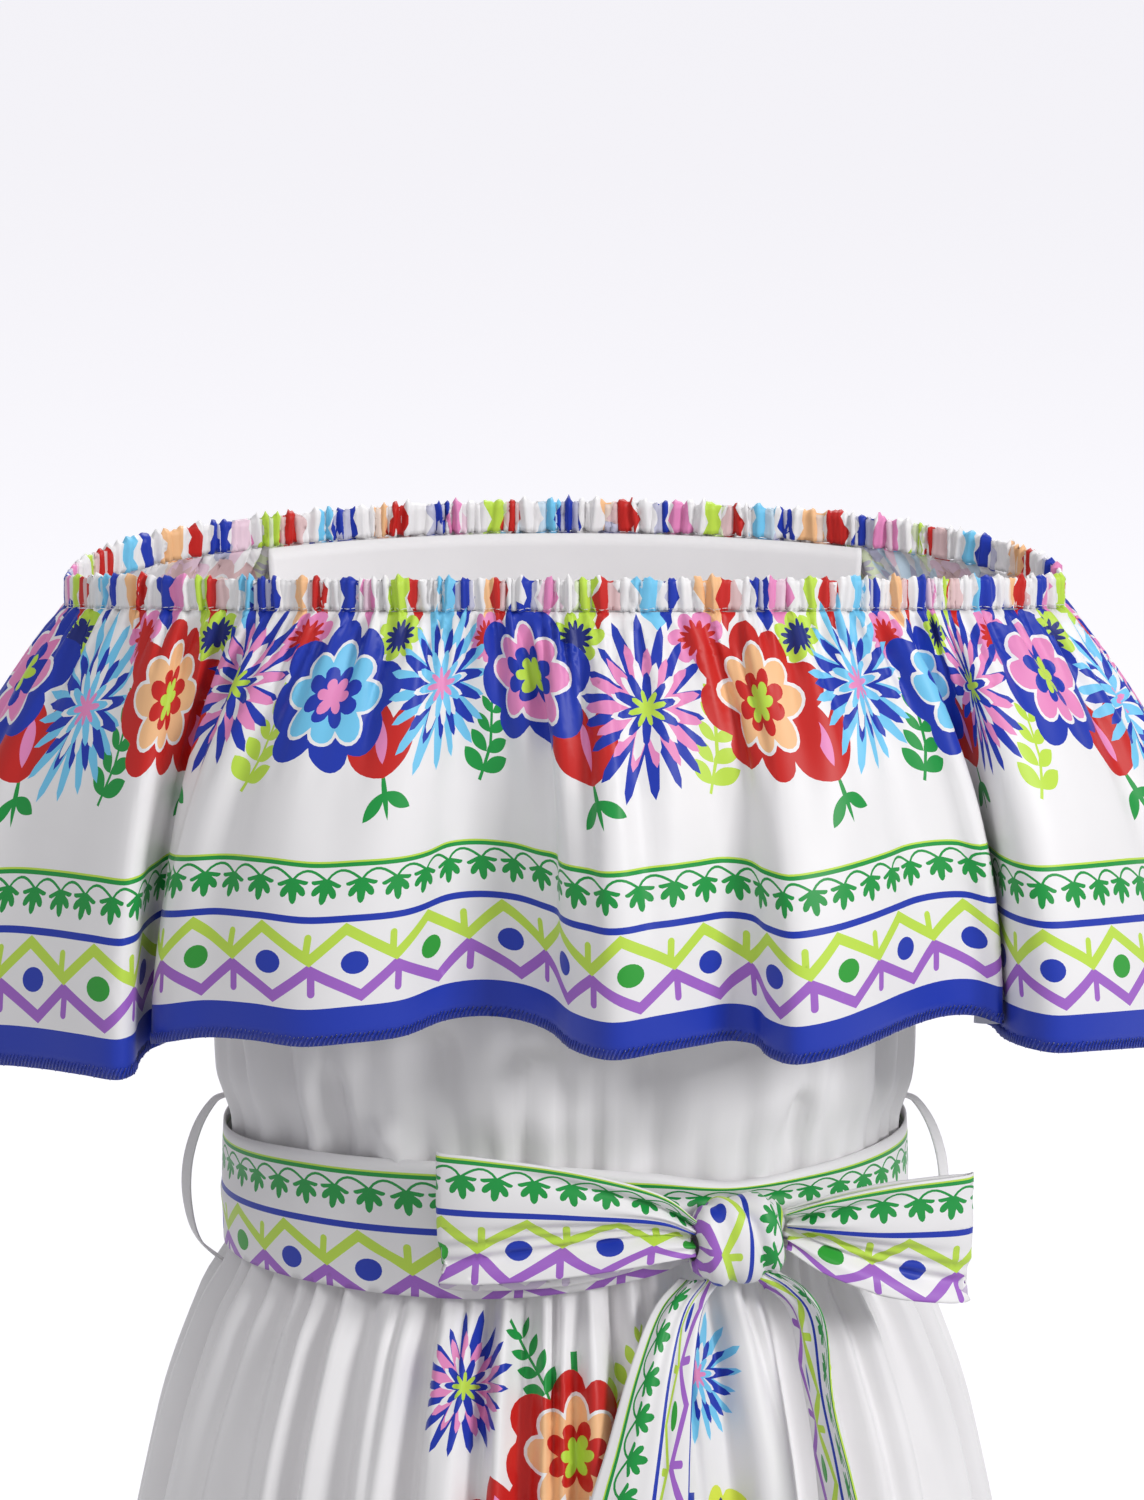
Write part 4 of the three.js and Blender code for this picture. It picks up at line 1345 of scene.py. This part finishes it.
@dataclass
class Skirt:
    """The gathered skirt, with a spray of flowers printed down the middle of its front."""

    finishes: Finishes
    wide: float = 920.0
    tall: float = 814.0
    seam_fade: float = 12.0
    # u at the waist, half of how far the crease leans, its length, depth and width, and how slow its lee is.
    creases: Rows = (
        (60, -8, 300, -3.0, 5, 1.5), (96, -6, 190, -2.6, 4, 1.5), (128, -6, 360, -3.4, 6, 1.5),
        (160, -4, 150, -2.6, 4, 1.4), (196, -5, 420, -3.6, 6, 1.5), (226, -3, 130, -2.4, 4, 1.4),
        (262, -4, 330, -3.2, 6, 1.5), (300, -2, 200, -2.8, 4, 1.5), (334, -3, 400, -3.4, 6, 1.5),
        (364, -1, 120, -2.6, 4, 1.4), (388, -2, 250, -3.0, 5, 1.5), (420, 0, 460, -4.6, 5, 1.8),
        (450, 0, 330, -4.6, 5, 0.7), (505, 2, 380, -4.4, 5, 1.7), (536, 1, 150, -2.6, 4, 1.3),
        (570, 2, 300, -3.0, 5, 1.5), (606, 3, 410, -3.2, 6, 1.5), (640, 2, 140, -2.4, 4, 1.3),
        (676, 4, 350, -3.4, 6, 1.5), (712, 4, 200, -2.6, 4, 1.4), (748, 6, 400, -3.4, 6, 1.5),
        (782, 5, 160, -2.6, 4, 1.4), (820, 7, 330, -3.2, 6, 1.5), (858, 8, 210, -2.8, 5, 1.5),
    )

    @staticmethod
    def shape(side: Side, place: Array, down: Array) -> Array:
        """The skirt: ovals that widen from the waist seam to the hem.

        Args:
            side: the front or the back.
            place: places along it, from -1 to 1.
            down: shares of the way down it.

        Returns:
            The points.
        """
        walk = Oval(214, 168, 161)
        angle = walk.walk(Side.FRONT, place)
        plan = section(SKIRT, down).at(angle, side)
        top = waist_line(angle, side) - 0.1
        return np.c_[plan, lerp(top, np.full_like(top, SKIRT_HEM_Z), down)]

    def rumples(self, u: Array, w: Array) -> Array:
        """The skirt's relief: folds that open out downwards, small gathers at the waist, and creases.

        Args:
            u: places along the cloth.
            w: places up the cloth.

        Returns:
            The heights.
        """
        creases = [
            Crease((at, self.tall), (at + 2 * lean, self.tall - drop), deep, wide, lee)
            for at, lean, drop, deep, wide, lee in self.creases
        ]
        place, down = 2 * u / self.wide - 1, 1 - w / self.tall
        below = self.tall - w
        height = SKIRT.read("fold", down) * folds(16, place, 0.8)
        height += 2.0 * np.exp(-below / 55) * folds(43, place, 1.6)
        height += 2.4 * creased(creases, u, w) * np.minimum(0.5 + below / 80, 1)
        at_seam = ramp(np.minimum(u, self.wide - u), 0, self.seam_fade)
        return height * lerp(at_seam, np.ones_like(u), ramp(down, 0.1, 0.5))

    def print_front(self) -> Print:
        """Prints a spray below the belt: a leafy stem with round and pointed flowers, tulips and daisies.

        Returns:
            The print.
        """
        cloth = Print()
        cloth.stroke(Ink.GREEN, [(474, 540), (466, 600), (476, 660), (468, 760)], 6)
        for u, w, turn, ink in (
            (432, 752, 30, Ink.GREEN), (516, 748, -30, Ink.LIME), (436, 628, 40, Ink.LIME),
        ):
            Motif((u, w), 1.2, 0.7, turn).sprig(cloth, ink)
        Motif((410, 690), 1.1, 0.8, 24).tulip(cloth, Ink.RED, Ink.PINK)
        Motif((534, 694), 1.1, 0.8, -24).tulip(cloth, Ink.BLUE, Ink.SKY)
        Motif((470, 716), 1.25, 0.85).rosette(cloth, Ink.RED, Ink.PEACH, Ink.LIME)
        Motif((372, 744), 0.9, 0.62).aster(cloth, Ink.BLUE, Ink.PINK, Ink.LIME)
        Motif((580, 748), 0.9, 0.62).aster(cloth, Ink.SKY, Ink.BLUE, Ink.PINK)
        Motif((470, 590), 1.1, 0.8).rosette(cloth, Ink.BLUE, Ink.PINK, Ink.LIME)
        for u, w, rim in (
            (420, 650, Ink.YELLOW), (520, 640, Ink.PINK), (366, 668, Ink.PINK), (590, 680, Ink.YELLOW),
        ):
            Motif((u, w), 1.3, 1.0).daisy(cloth, rim, Ink.NAVY)
        return cloth

    def build(self) -> list[bpy.types.Object]:
        """Sews the front and the back.

        Returns:
            The pieces.
        """
        made = []
        for side, word in ((Side.FRONT, "front"), (Side.BACK, "back")):
            front = side is Side.FRONT
            inks = (self.finishes.printed, self.finishes.print_inside)
            plain = (self.finishes.white, self.finishes.white_inside)
            cloth = Cloth(
                f"skirt_{word}_satin", f"skirt_{word}", "white_satin", self.wide, self.tall,
                partial(self.shape, side), side.value, self.rumples, self.print_front() if front else None,
                ((0, 560, 7, 20), (560, self.tall, 3.4, 6)),
            )
            piece = cloth.sew(inks if front else plain)
            made.append(piece)
        return made


BELT_OVAL = Oval(158, 108.5, 106)
BELT = Table(
    ("turn", "z", "tall"),
    [
        (-180, -283, 62), (-90, -287, 57), (-45, -280, 63), (-10, -275.5, 64), (13, -273, 50), (28, -271, 31),
        (45, -276, 41), (65, -283, 55), (90, -287, 60), (180, -283, 62),
    ],
)
LEFT_LOOP = numbered(
    ("x", "y", "z", "tall"),
    [
        (58.7, -120.5, -273, 17), (42, -125, -267, 33), (5, -128, -264, 50), (-36, -127.5, -263, 60),
        (-55, -122.5, -263.5, 62), (-57.5, -118.5, -264, 62), (-55, -114.5, -264.5, 62),
        (-36, -112.5, -265, 60), (5, -113.5, -267, 50), (38, -112, -270, 33), (56.7, -114.6, -274, 17),
    ],
)
RIGHT_LOOP = numbered(
    ("x", "y", "z", "tall"),
    [
        (99.8, -105.9, -275, 17), (118, -112, -276, 36), (146, -110, -279, 53), (172, -101, -282, 60),
        (182, -95, -283, 61), (184, -91, -283, 61), (180.5, -89, -283, 61), (168, -90, -282, 60),
        (142, -96, -280, 53), (119, -99.5, -277, 36), (97.9, -100.3, -276, 17),
    ],
)
LEFT_END = numbered(
    ("x", "z", "wide", "turn", "clear"),
    [
        (61, -297.2, 18, 0, 9), (51, -311, 22, 3, 6), (43.5, -335, 29, 6, 3), (37.5, -368, 38, 9, 1),
        (31.5, -404, 48, 10, 1), (22, -480, 57, 8, 1), (11, -610, 63, 4, 1),
    ],
)
RIGHT_END = numbered(
    ("x", "z", "wide", "turn", "clear"),
    [
        (88, -296.7, 15, 0, 9), (100, -306, 22, 25, 6), (109.5, -320, 26, 50, 3), (114, -350, 30, 64, 1),
        (121.5, -385, 38, 64, 1), (134, -460, 52, 54, 1), (144, -590, 63, 46, 1),
    ],
)
CARRIER = numbered(
    ("off", "z"), [(0, -247), (6, -250.5), (13, -263), (17.5, -281), (17.5, -300), (12.5, -318), (0, -330)]
)


def by_length(table: Table, columns: Sequence[str], share: Array) -> Array:
    """The place in a table where a share of the length of the line that some columns draw has been walked.

    Args:
        table: the table, with places from 0 to 1.
        columns: the columns that hold the line's coordinates.
        share: shares of the length, from 0 to 1.

    Returns:
        The places.
    """
    t = np.linspace(0, 1, 400)
    line = np.stack([table.read(column, t) for column in columns], axis=1)
    length = np.r_[0, np.cumsum(np.linalg.norm(np.diff(line, axis=0), axis=1))]
    return np.interp(share, length / length[-1], t)


def skirt_reach(x: Array, z: Array) -> Array:
    """How far forward the crests of the skirt's folds reach: depth sqrt(1 - (x / width)^2) + fold + 1.

    Args:
        x: places to the right.
        z: heights.

    Returns:
        The distances in front of the middle.
    """
    top = waist_line(np.arcsin(np.minimum(np.abs(x) / 165, 1)), Side.FRONT)
    down = (top - z) / (top - SKIRT_HEM_Z)
    oval = section(SKIRT, down)
    bend = np.sqrt(1 - np.minimum((x / oval.half_width) ** 2, 1))
    return oval.front * bend + SKIRT.read("fold", down) + 1


@dataclass
class Sash:
    """The printed sash: round the waist, through its knot, in two loops and two hanging ends."""

    finishes: Finishes
    wide: float = 62.0
    belt_long: float = 848.0
    left_loop_long: float = 242.0
    right_loop_long: float = 180.0
    end_long: float = 318.0
    knot_round: float = 112.0
    knot_across: float = 44.0
    knot_at: tuple[float, float] = (73.0, -278.0)
    knot_half: tuple[float, float, float] = (21.0, 13.0, 20.5)
    seam_fade: float = 20.0
    # Where a crease starts and where it ends, its depth, its width and how slow its lee is. In a loop, the
    # places along it are shares of its length.
    belt_creases: Rows = (
        (150, 22, 330, 30, 0.9, 3.0, 1.6), (205, 44, 372, 40, -0.9, 3.0, 1.4),
        (330, 12, 430, 26, -1.1, 3.0, 1.4), (520, 30, 610, 44, 0.9, 3.0, 1.4),
        (60, 36, 170, 28, -0.7, 3.0, 1.3), (650, 24, 800, 34, 0.8, 3.0, 1.3),
    )
    loop_creases: Rows = (
        (0, 21, 0.95, -3, -6.0, 2.0, 2.2), (0, 26, 0.85, 9, -5.2, 2.0, 2.4), (0, 31, 0.6, 22, -4.4, 1.9, 2.6),
        (0, 46, 0.5, 60, -3.6, 2.6, 1.6), (0, 38, 0.24, 36, -2.4, 1.6, 2.0),
        (1, 22, 0.6, 12, -2.4, 2.4, 1.8), (1, 40, 0.66, 50, -2.0, 2.4, 1.6),
    )
    # Heights on the border and where they lie across the left end, and the height at the right end's edge.
    up_border: tuple[float, ...] = (0, 18, 28, 36.6, 56.6, 69, 81, 100)
    over_left_end: tuple[float, ...] = (78, 60, 52, 47, 40, 24, 9, -10)
    right_end_cut: float = 20.0
    knot_squeeze: tuple[float, float] = (23.0, 0.72)

    def belt(self, place: Array, down: Array) -> Array:
        """The belt: round its oval, a little crowned between its edges.

        Args:
            place: places along it, from -1 to 1.
            down: shares of the way down it.

        Returns:
            The points.
        """
        degrees = 180 * place
        turn = np.radians(degrees)
        angle = np.arcsin(np.sin(turn))
        up = 0.5 - down
        out = np.where(up > 0, -1.0, -0.4) * (2 * up) ** 2
        front, back = (BELT_OVAL.at(angle, side, out) for side in Side)
        plan = np.where((np.cos(turn) >= 0)[:, None], front, back)
        return np.c_[plan, BELT.read("z", degrees) + up * BELT.read("tall", degrees)]

    def belt_rumples(self, u: Array, w: Array) -> Array:
        """The belt's relief: faint lengthwise creases, and pleats that run into the knot.

        Args:
            u: places along the cloth.
            w: places up the cloth.

        Returns:
            The heights.
        """
        near = np.exp(-np.abs(u - self.belt_long * (0.5 + 28 / 360)) / 42)
        height = 1.5 * near * np.cos(2 * math.pi * w / 19 + 0.6)
        creases = [Crease(row[:2], row[2:4], *row[4:], False) for row in self.belt_creases]
        return (height + creased(creases, u, w)) * off_ends(u, self.belt_long, self.seam_fade)

    @staticmethod
    def loop(table: Table, droop: float, place: Array, down: Array) -> Array:
        """A loop: a strip set on edge along a line in plan; its far layer hangs a little lower.

        Args:
            table: its rows.
            droop: how much lower.
            place: places along it, from -1 to 1.
            down: shares of the way down it.

        Returns:
            The points.
        """
        t = by_length(table, ("x", "y"), (place + 1) / 2)
        lower = droop * np.sin(math.pi * np.clip((t - 0.5) * 2, 0, 1)) ** 1.2
        z = table.read("z", t) + (0.5 - down) * table.read("tall", t) - lower
        return np.stack([table.read("x", t), table.read("y", t), z], axis=1)

    def loop_rumples(self, long: float, u: Array, w: Array) -> Array:
        """A loop's relief: pleats that gather it into the knot, and long creases that spread out from it.

        Args:
            long: the loop's length.
            u: places along the cloth.
            w: places up the cloth.

        Returns:
            The heights.
        """
        creases = [
            Crease((a * long, b), (c * long, d), deep, wide, lee)
            for a, b, c, d, deep, wide, lee in self.loop_creases
        ]
        near = np.exp(-u / 34) + np.exp(-(long - u) / 34)
        pleats = 1.3 * near * np.cos(2 * math.pi * w / 21 + 0.9)
        return pleats + creased(creases, u, w)

    @staticmethod
    def end(table: Table, place: Array, down: Array) -> Array:
        """A hanging end: it lies over the skirt's folds, a little bowed across its width.

        Args:
            table: its rows.
            place: places along it, from -1 to 1.
            down: shares of the way down it.

        Returns:
            The points.
        """
        across = place / 2
        t = by_length(table, ("x", "z"), down)
        turn = np.radians(table.read("turn", t))
        width, z = table.read("wide", t), table.read("z", t)
        middle = table.read("x", t)
        x = middle + across * width * np.cos(turn)
        lift = (across + 0.5) * width * np.sin(turn)
        bowed = 2.5 * (1 - 4 * across**2) * np.cos(turn)
        nearest = np.maximum(skirt_reach(middle - width / 2 * np.cos(turn), z), skirt_reach(x, z))
        y = -(nearest + table.read("clear", t) + lift + bowed + 1.4)
        return np.stack([x, y, z], axis=1)

    def end_rumples(self, u: Array, w: Array) -> Array:
        """An end's relief: pleats at the knot that die out, and two lengthwise creases.

        Args:
            u: places along the cloth.
            w: places up the cloth.

        Returns:
            The heights.
        """
        from_knot = self.end_long - w
        pleats = 1.3 * np.exp(-from_knot / 40) * np.cos(2 * math.pi * u / 20 + 0.5)
        creases = (
            Crease((40, self.end_long), (48, 40), -1.8, 3.0, 1.7),
            Crease((24, self.end_long), (18, 120), 1.2, 4.0),
        )
        return pleats + creased(creases, u, w)

    def knot(self, place: Array, down: Array) -> Array:
        """The knot: rings round the line along the belt, full in the middle and drawn in at both ends.

        Args:
            place: places along it, from -1 to 1.
            down: shares of the way down it.

        Returns:
            The points.
        """
        x, z = self.knot_at
        across, deep, tall = self.knot_half
        angle = np.array([math.asin(x / BELT_OVAL.half_width)])
        foot = BELT_OVAL.at(angle, Side.FRONT)[0]
        out = BELT_OVAL.at(angle, Side.FRONT, 1.0)[0] - foot
        along = np.array([-out[1], out[0]])
        centre = foot + out * (deep + 0.4)
        a, turn = 2 * down - 1, math.pi * place
        full = np.interp(np.abs(a), (0, 0.45, 0.8, 0.94, 1), (1, 0.97, 0.84, 0.62, 0.36))
        round_off = 1 + 0.05 * np.sin(2 * turn) ** 2
        forward = full * deep * np.cos(turn) * round_off
        plan = centre + along * (a * across)[:, None] + out * forward[:, None]
        return np.c_[plan, z + full * tall * np.sin(turn) * round_off]

    def knot_rumples(self, u: Array, w: Array) -> Array:
        """The knot's relief: slanting wraps, deeper towards its ends, and two narrow valleys across them.

        Args:
            u: places along the cloth.
            w: places up the cloth.

        Returns:
            The heights.
        """
        place, a = 2 * u / self.knot_round - 1, 1 - 2 * w / self.knot_across
        slant = np.cos(math.pi * (3 * a + 1.6 * place))
        near_end = 0.35 + 0.65 * np.abs(a)
        upper = -3.0 * np.exp(-(((a - 0.34 + 0.9 * place) / 0.1) ** 2))
        lower = -1.8 * np.exp(-(((a + 0.5 + 0.7 * place) / 0.08) ** 2))
        valleys = (upper + lower) * (1 - 0.6 * np.abs(a))
        wraps = 1.5 * near_end * (1 - 2 * ((1 - slant) / 2) ** 2) + valleys
        return wraps * ramp(1 - np.abs(place), 0, 0.2)

    @staticmethod
    def border(long: float, lay: Callable[[Array], Array], start: float) -> Print:
        """The border on a piece of the sash.

        Args:
            long: how much of the border's length shows.
            lay: takes places along and up the border to places on the piece.
            start: where on the border the piece starts.

        Returns:
            The print.
        """
        cloth, straight = Print(), Print()
        Border().draw(straight, start, start + long)
        cloth.shapes = [(ink, lay(points - (start, 0))) for ink, points in straight.shapes]
        return cloth

    def build(self) -> list[bpy.types.Object]:
        """Sews the belt, the knot, the loops and the ends.

        Returns:
            The pieces.
        """

        def along(cut: float) -> Callable[[Array], Array]:
            """Lays the border along a piece, less what is rolled in below its edge."""
            return lambda p: p - (0, cut)

        def over_left(p: Array) -> Array:
            """Lays the border down the left end, squeezed across it."""
            return np.c_[np.interp(p[:, 1], self.up_border, self.over_left_end), p[:, 0]]

        def over_right(p: Array) -> Array:
            """Lays the border down the right end."""
            return np.c_[p[:, 1] - self.right_end_cut, p[:, 0]]

        def over_knot(p: Array) -> Array:
            """Lays the border round the knot, upside down and squeezed."""
            foot, share = self.knot_squeeze
            return np.c_[p[:, 0], self.knot_across - (p[:, 1] - foot) * share]

        wide, left, right, down = self.wide, self.left_loop_long, self.right_loop_long, self.end_long
        cloths = [
            Cloth(
                "belt_satin", "sash_belt", "sash_satin", self.belt_long, wide, self.belt, 1,
                self.belt_rumples, self.border(self.belt_long, along(26.5), 17), ((0, wide, 3.4, 4.4),),
                ring=True,
            ),
            Cloth(
                "bow_loop_left_satin", "bow_loop_left", "sash_satin", left, wide,
                partial(self.loop, LEFT_LOOP, 6), -1, partial(self.loop_rumples, left),
                self.border(left, along(22), 33), ((0, wide, 2.2, 1.2),),
            ),
            Cloth(
                "bow_loop_right_satin", "bow_loop_right", "sash_satin", right, wide,
                partial(self.loop, RIGHT_LOOP, 3), 1, partial(self.loop_rumples, right),
                self.border(right, along(22), 12), ((0, wide, 2.2, 1.3),),
            ),
            Cloth(
                "sash_end_left_satin", "sash_end_left", "sash_satin", wide, down,
                partial(self.end, LEFT_END), 1, self.end_rumples,
                self.border(down, over_left, 20), ((0, down, 2.0, 5),),
            ),
            Cloth(
                "sash_end_right_satin", "sash_end_right", "sash_satin", wide, down,
                partial(self.end, RIGHT_END), 1, self.end_rumples,
                self.border(down, over_right, 61), ((0, down, 2.6, 5),),
            ),
            Cloth(
                "knot_satin", "sash_knot", "sash_satin", self.knot_round, self.knot_across, self.knot, 1,
                self.knot_rumples, self.border(self.knot_round, over_knot, 40),
                ((0, self.knot_across, 1.3, 1.3),), ring=True,
            ),
        ]
        made = []
        for cloth in cloths:
            piece = cloth.sew((self.finishes.printed, self.finishes.print_inside))
            made.append(piece)
        return made


@dataclass
class Carriers:
    """The thin strips at the side seams that the sash runs through, each drawn as a single strip about half
    their flat width, the width that they are folded to.
    """

    finishes: Finishes
    bodice: Bodice
    skirt: Skirt
    wide: float = 5.5
    flat_wide: float = 10.0
    long: float = 98.0
    seat: float = 1.1
    shows: float = 0.55

    def seam(self, shape: Shape, z: float) -> float:
        """How far out a side seam lies at a height."""
        points = shape(np.ones(400), np.linspace(0, 1, 400))[::-1]
        return float(np.interp(z, points[:, 2], points[:, 0]))

    def strip(self, side: int, place: Array, down: Array) -> Array:
        """A carrier: a narrow strip that bows out between its two sewn ends and twists in its middle.

        Args:
            side: -1 for the left of the picture and 1 for the right.
            place: places along it, from -1 to 1.
            down: shares of the way down it.

        Returns:
            The points.
        """
        top, foot = CARRIER.of["z"][[0, -1]]
        above = self.seam(partial(self.bodice.shape, Side.FRONT), top)
        below = self.seam(partial(self.skirt.shape, Side.FRONT), foot)
        turn = 0.9 * np.sin(math.pi * down)
        across = place * self.wide / 2
        out = lerp(above, below, down) + self.seat + CARRIER.read("off", down)
        x = out + across * np.sin(turn)
        return np.stack([side * x, across * np.cos(turn), CARRIER.read("z", down)], axis=1)

    def build(self) -> list[bpy.types.Object]:
        """Sews both.

        Returns:
            The pieces.
        """
        made = []
        for side, word in ((-1, "left"), (1, "right")):
            cloth = Cloth(
                f"belt_carrier_{word}_satin", f"belt_carrier_{word}", "white_satin", self.wide, self.long,
                partial(self.strip, side), side, lambda u, w: 0.35 * np.sin(math.pi * u / self.wide), None,
                ((0, self.long, 0.6, 2),),
            )
            piece = cloth.sew((self.finishes.white,))
            made.append(piece)
        return made


@dataclass
class Studio:
    """The floor, the light and the camera."""

    aim: tuple[float, float, float] = (0.0032, 0.0, -0.082)
    distance: float = 4.19
    elevation: float = 17.4
    lens: float = 221.5
    floor_z: float = SKIRT_HEM_Z * MM - 0.002
    floor_radius: float = 40.0
    floor_corners: int = 64

    def floor(self) -> None:
        """Lays a plain pale floor, a disc so wide that it fills the picture."""
        turn = np.linspace(0, 2 * math.pi, self.floor_corners + 1)[:-1]
        x, y = self.floor_radius * np.cos(turn), self.floor_radius * np.sin(turn)
        edge = np.stack([x, y, np.full_like(turn, self.floor_z)], 1)
        mesh = bpy.data.meshes.new("studio_floor")
        mesh.from_pydata(edge.tolist(), [], [list(range(self.floor_corners))])
        paper, _ = new_material(
            "studio paper",
            Base_Color=(0.3, 0.3, 0.31, 1),
            Roughness=0.9,
            Specular_IOR_Level=0.1,
            Emission_Color=(0.97, 0.955, 1, 1),
            Emission_Strength=0.78,
        )
        mesh.materials.append(paper)
        floor = bpy.data.objects.new("studio_floor", mesh)
        bpy.context.collection.objects.link(floor)
        floor.visible_diffuse = False

    @staticmethod
    def light(name: str, at: tuple[float, float, float], size: float, watts: float) -> None:
        """Hangs one soft box that faces the dress.

        Args:
            name: the light's name.
            at: its place, in metres.
            size: the side of its square, in metres.
            watts: its power.
        """
        lamp = bpy.data.lights.new(name, "AREA")
        lamp.size, lamp.energy = size, watts
        box = bpy.data.objects.new(name, lamp)
        box.location = at
        box.rotation_euler = (Vector((0, 0, -0.2)) - Vector(at)).to_track_quat("-Z", "Y").to_euler()
        bpy.context.collection.objects.link(box)

    def build(self) -> None:
        """Sets up the whole studio."""
        self.floor()
        self.light("key", (2.6, -2.1, 1.4), 1.0, 74)
        self.light("fill", (-1.3, -1.9, 2.8), 1.4, 24)
        self.light("back", (0.4, 2.6, 2.0), 1.8, 60)
        world = bpy.data.worlds.new("studio")
        world.use_nodes = True
        sky = world.node_tree.nodes["Background"]
        sky.inputs["Color"].default_value = (0.97, 0.975, 1, 1)
        sky.inputs["Strength"].default_value = 0.45
        scene = bpy.context.scene
        scene.world = world
        scene.view_settings.view_transform = "Standard"
        camera = bpy.data.cameras.new("camera")
        camera.lens, camera.sensor_width, camera.sensor_fit = self.lens, 36, "AUTO"
        eye = bpy.data.objects.new("camera", camera)
        tilt = math.radians(self.elevation)
        back = Vector((0, -math.cos(tilt), math.sin(tilt)))
        eye.location = Vector(self.aim) + back * self.distance
        eye.rotation_euler = (-back).to_track_quat("-Z", "Y").to_euler()
        bpy.context.collection.objects.link(eye)
        scene.camera = eye


def main() -> None:
    """Builds the dress piece by piece, then the studio."""
    logging.basicConfig(level=logging.INFO, format="%(message)s")
    finishes = Finishes()
    bodice, skirt = Bodice(finishes), Skirt(finishes)
    for part in (Flounce(finishes), bodice, skirt, Sash(finishes), Carriers(finishes, bodice, skirt)):
        pieces = part.build()
        log.info("%s: %d pieces", type(part).__name__, len(pieces))
    Studio().build()
    bpy.context.view_layer.update()


if __name__ == "__main__":
    main()
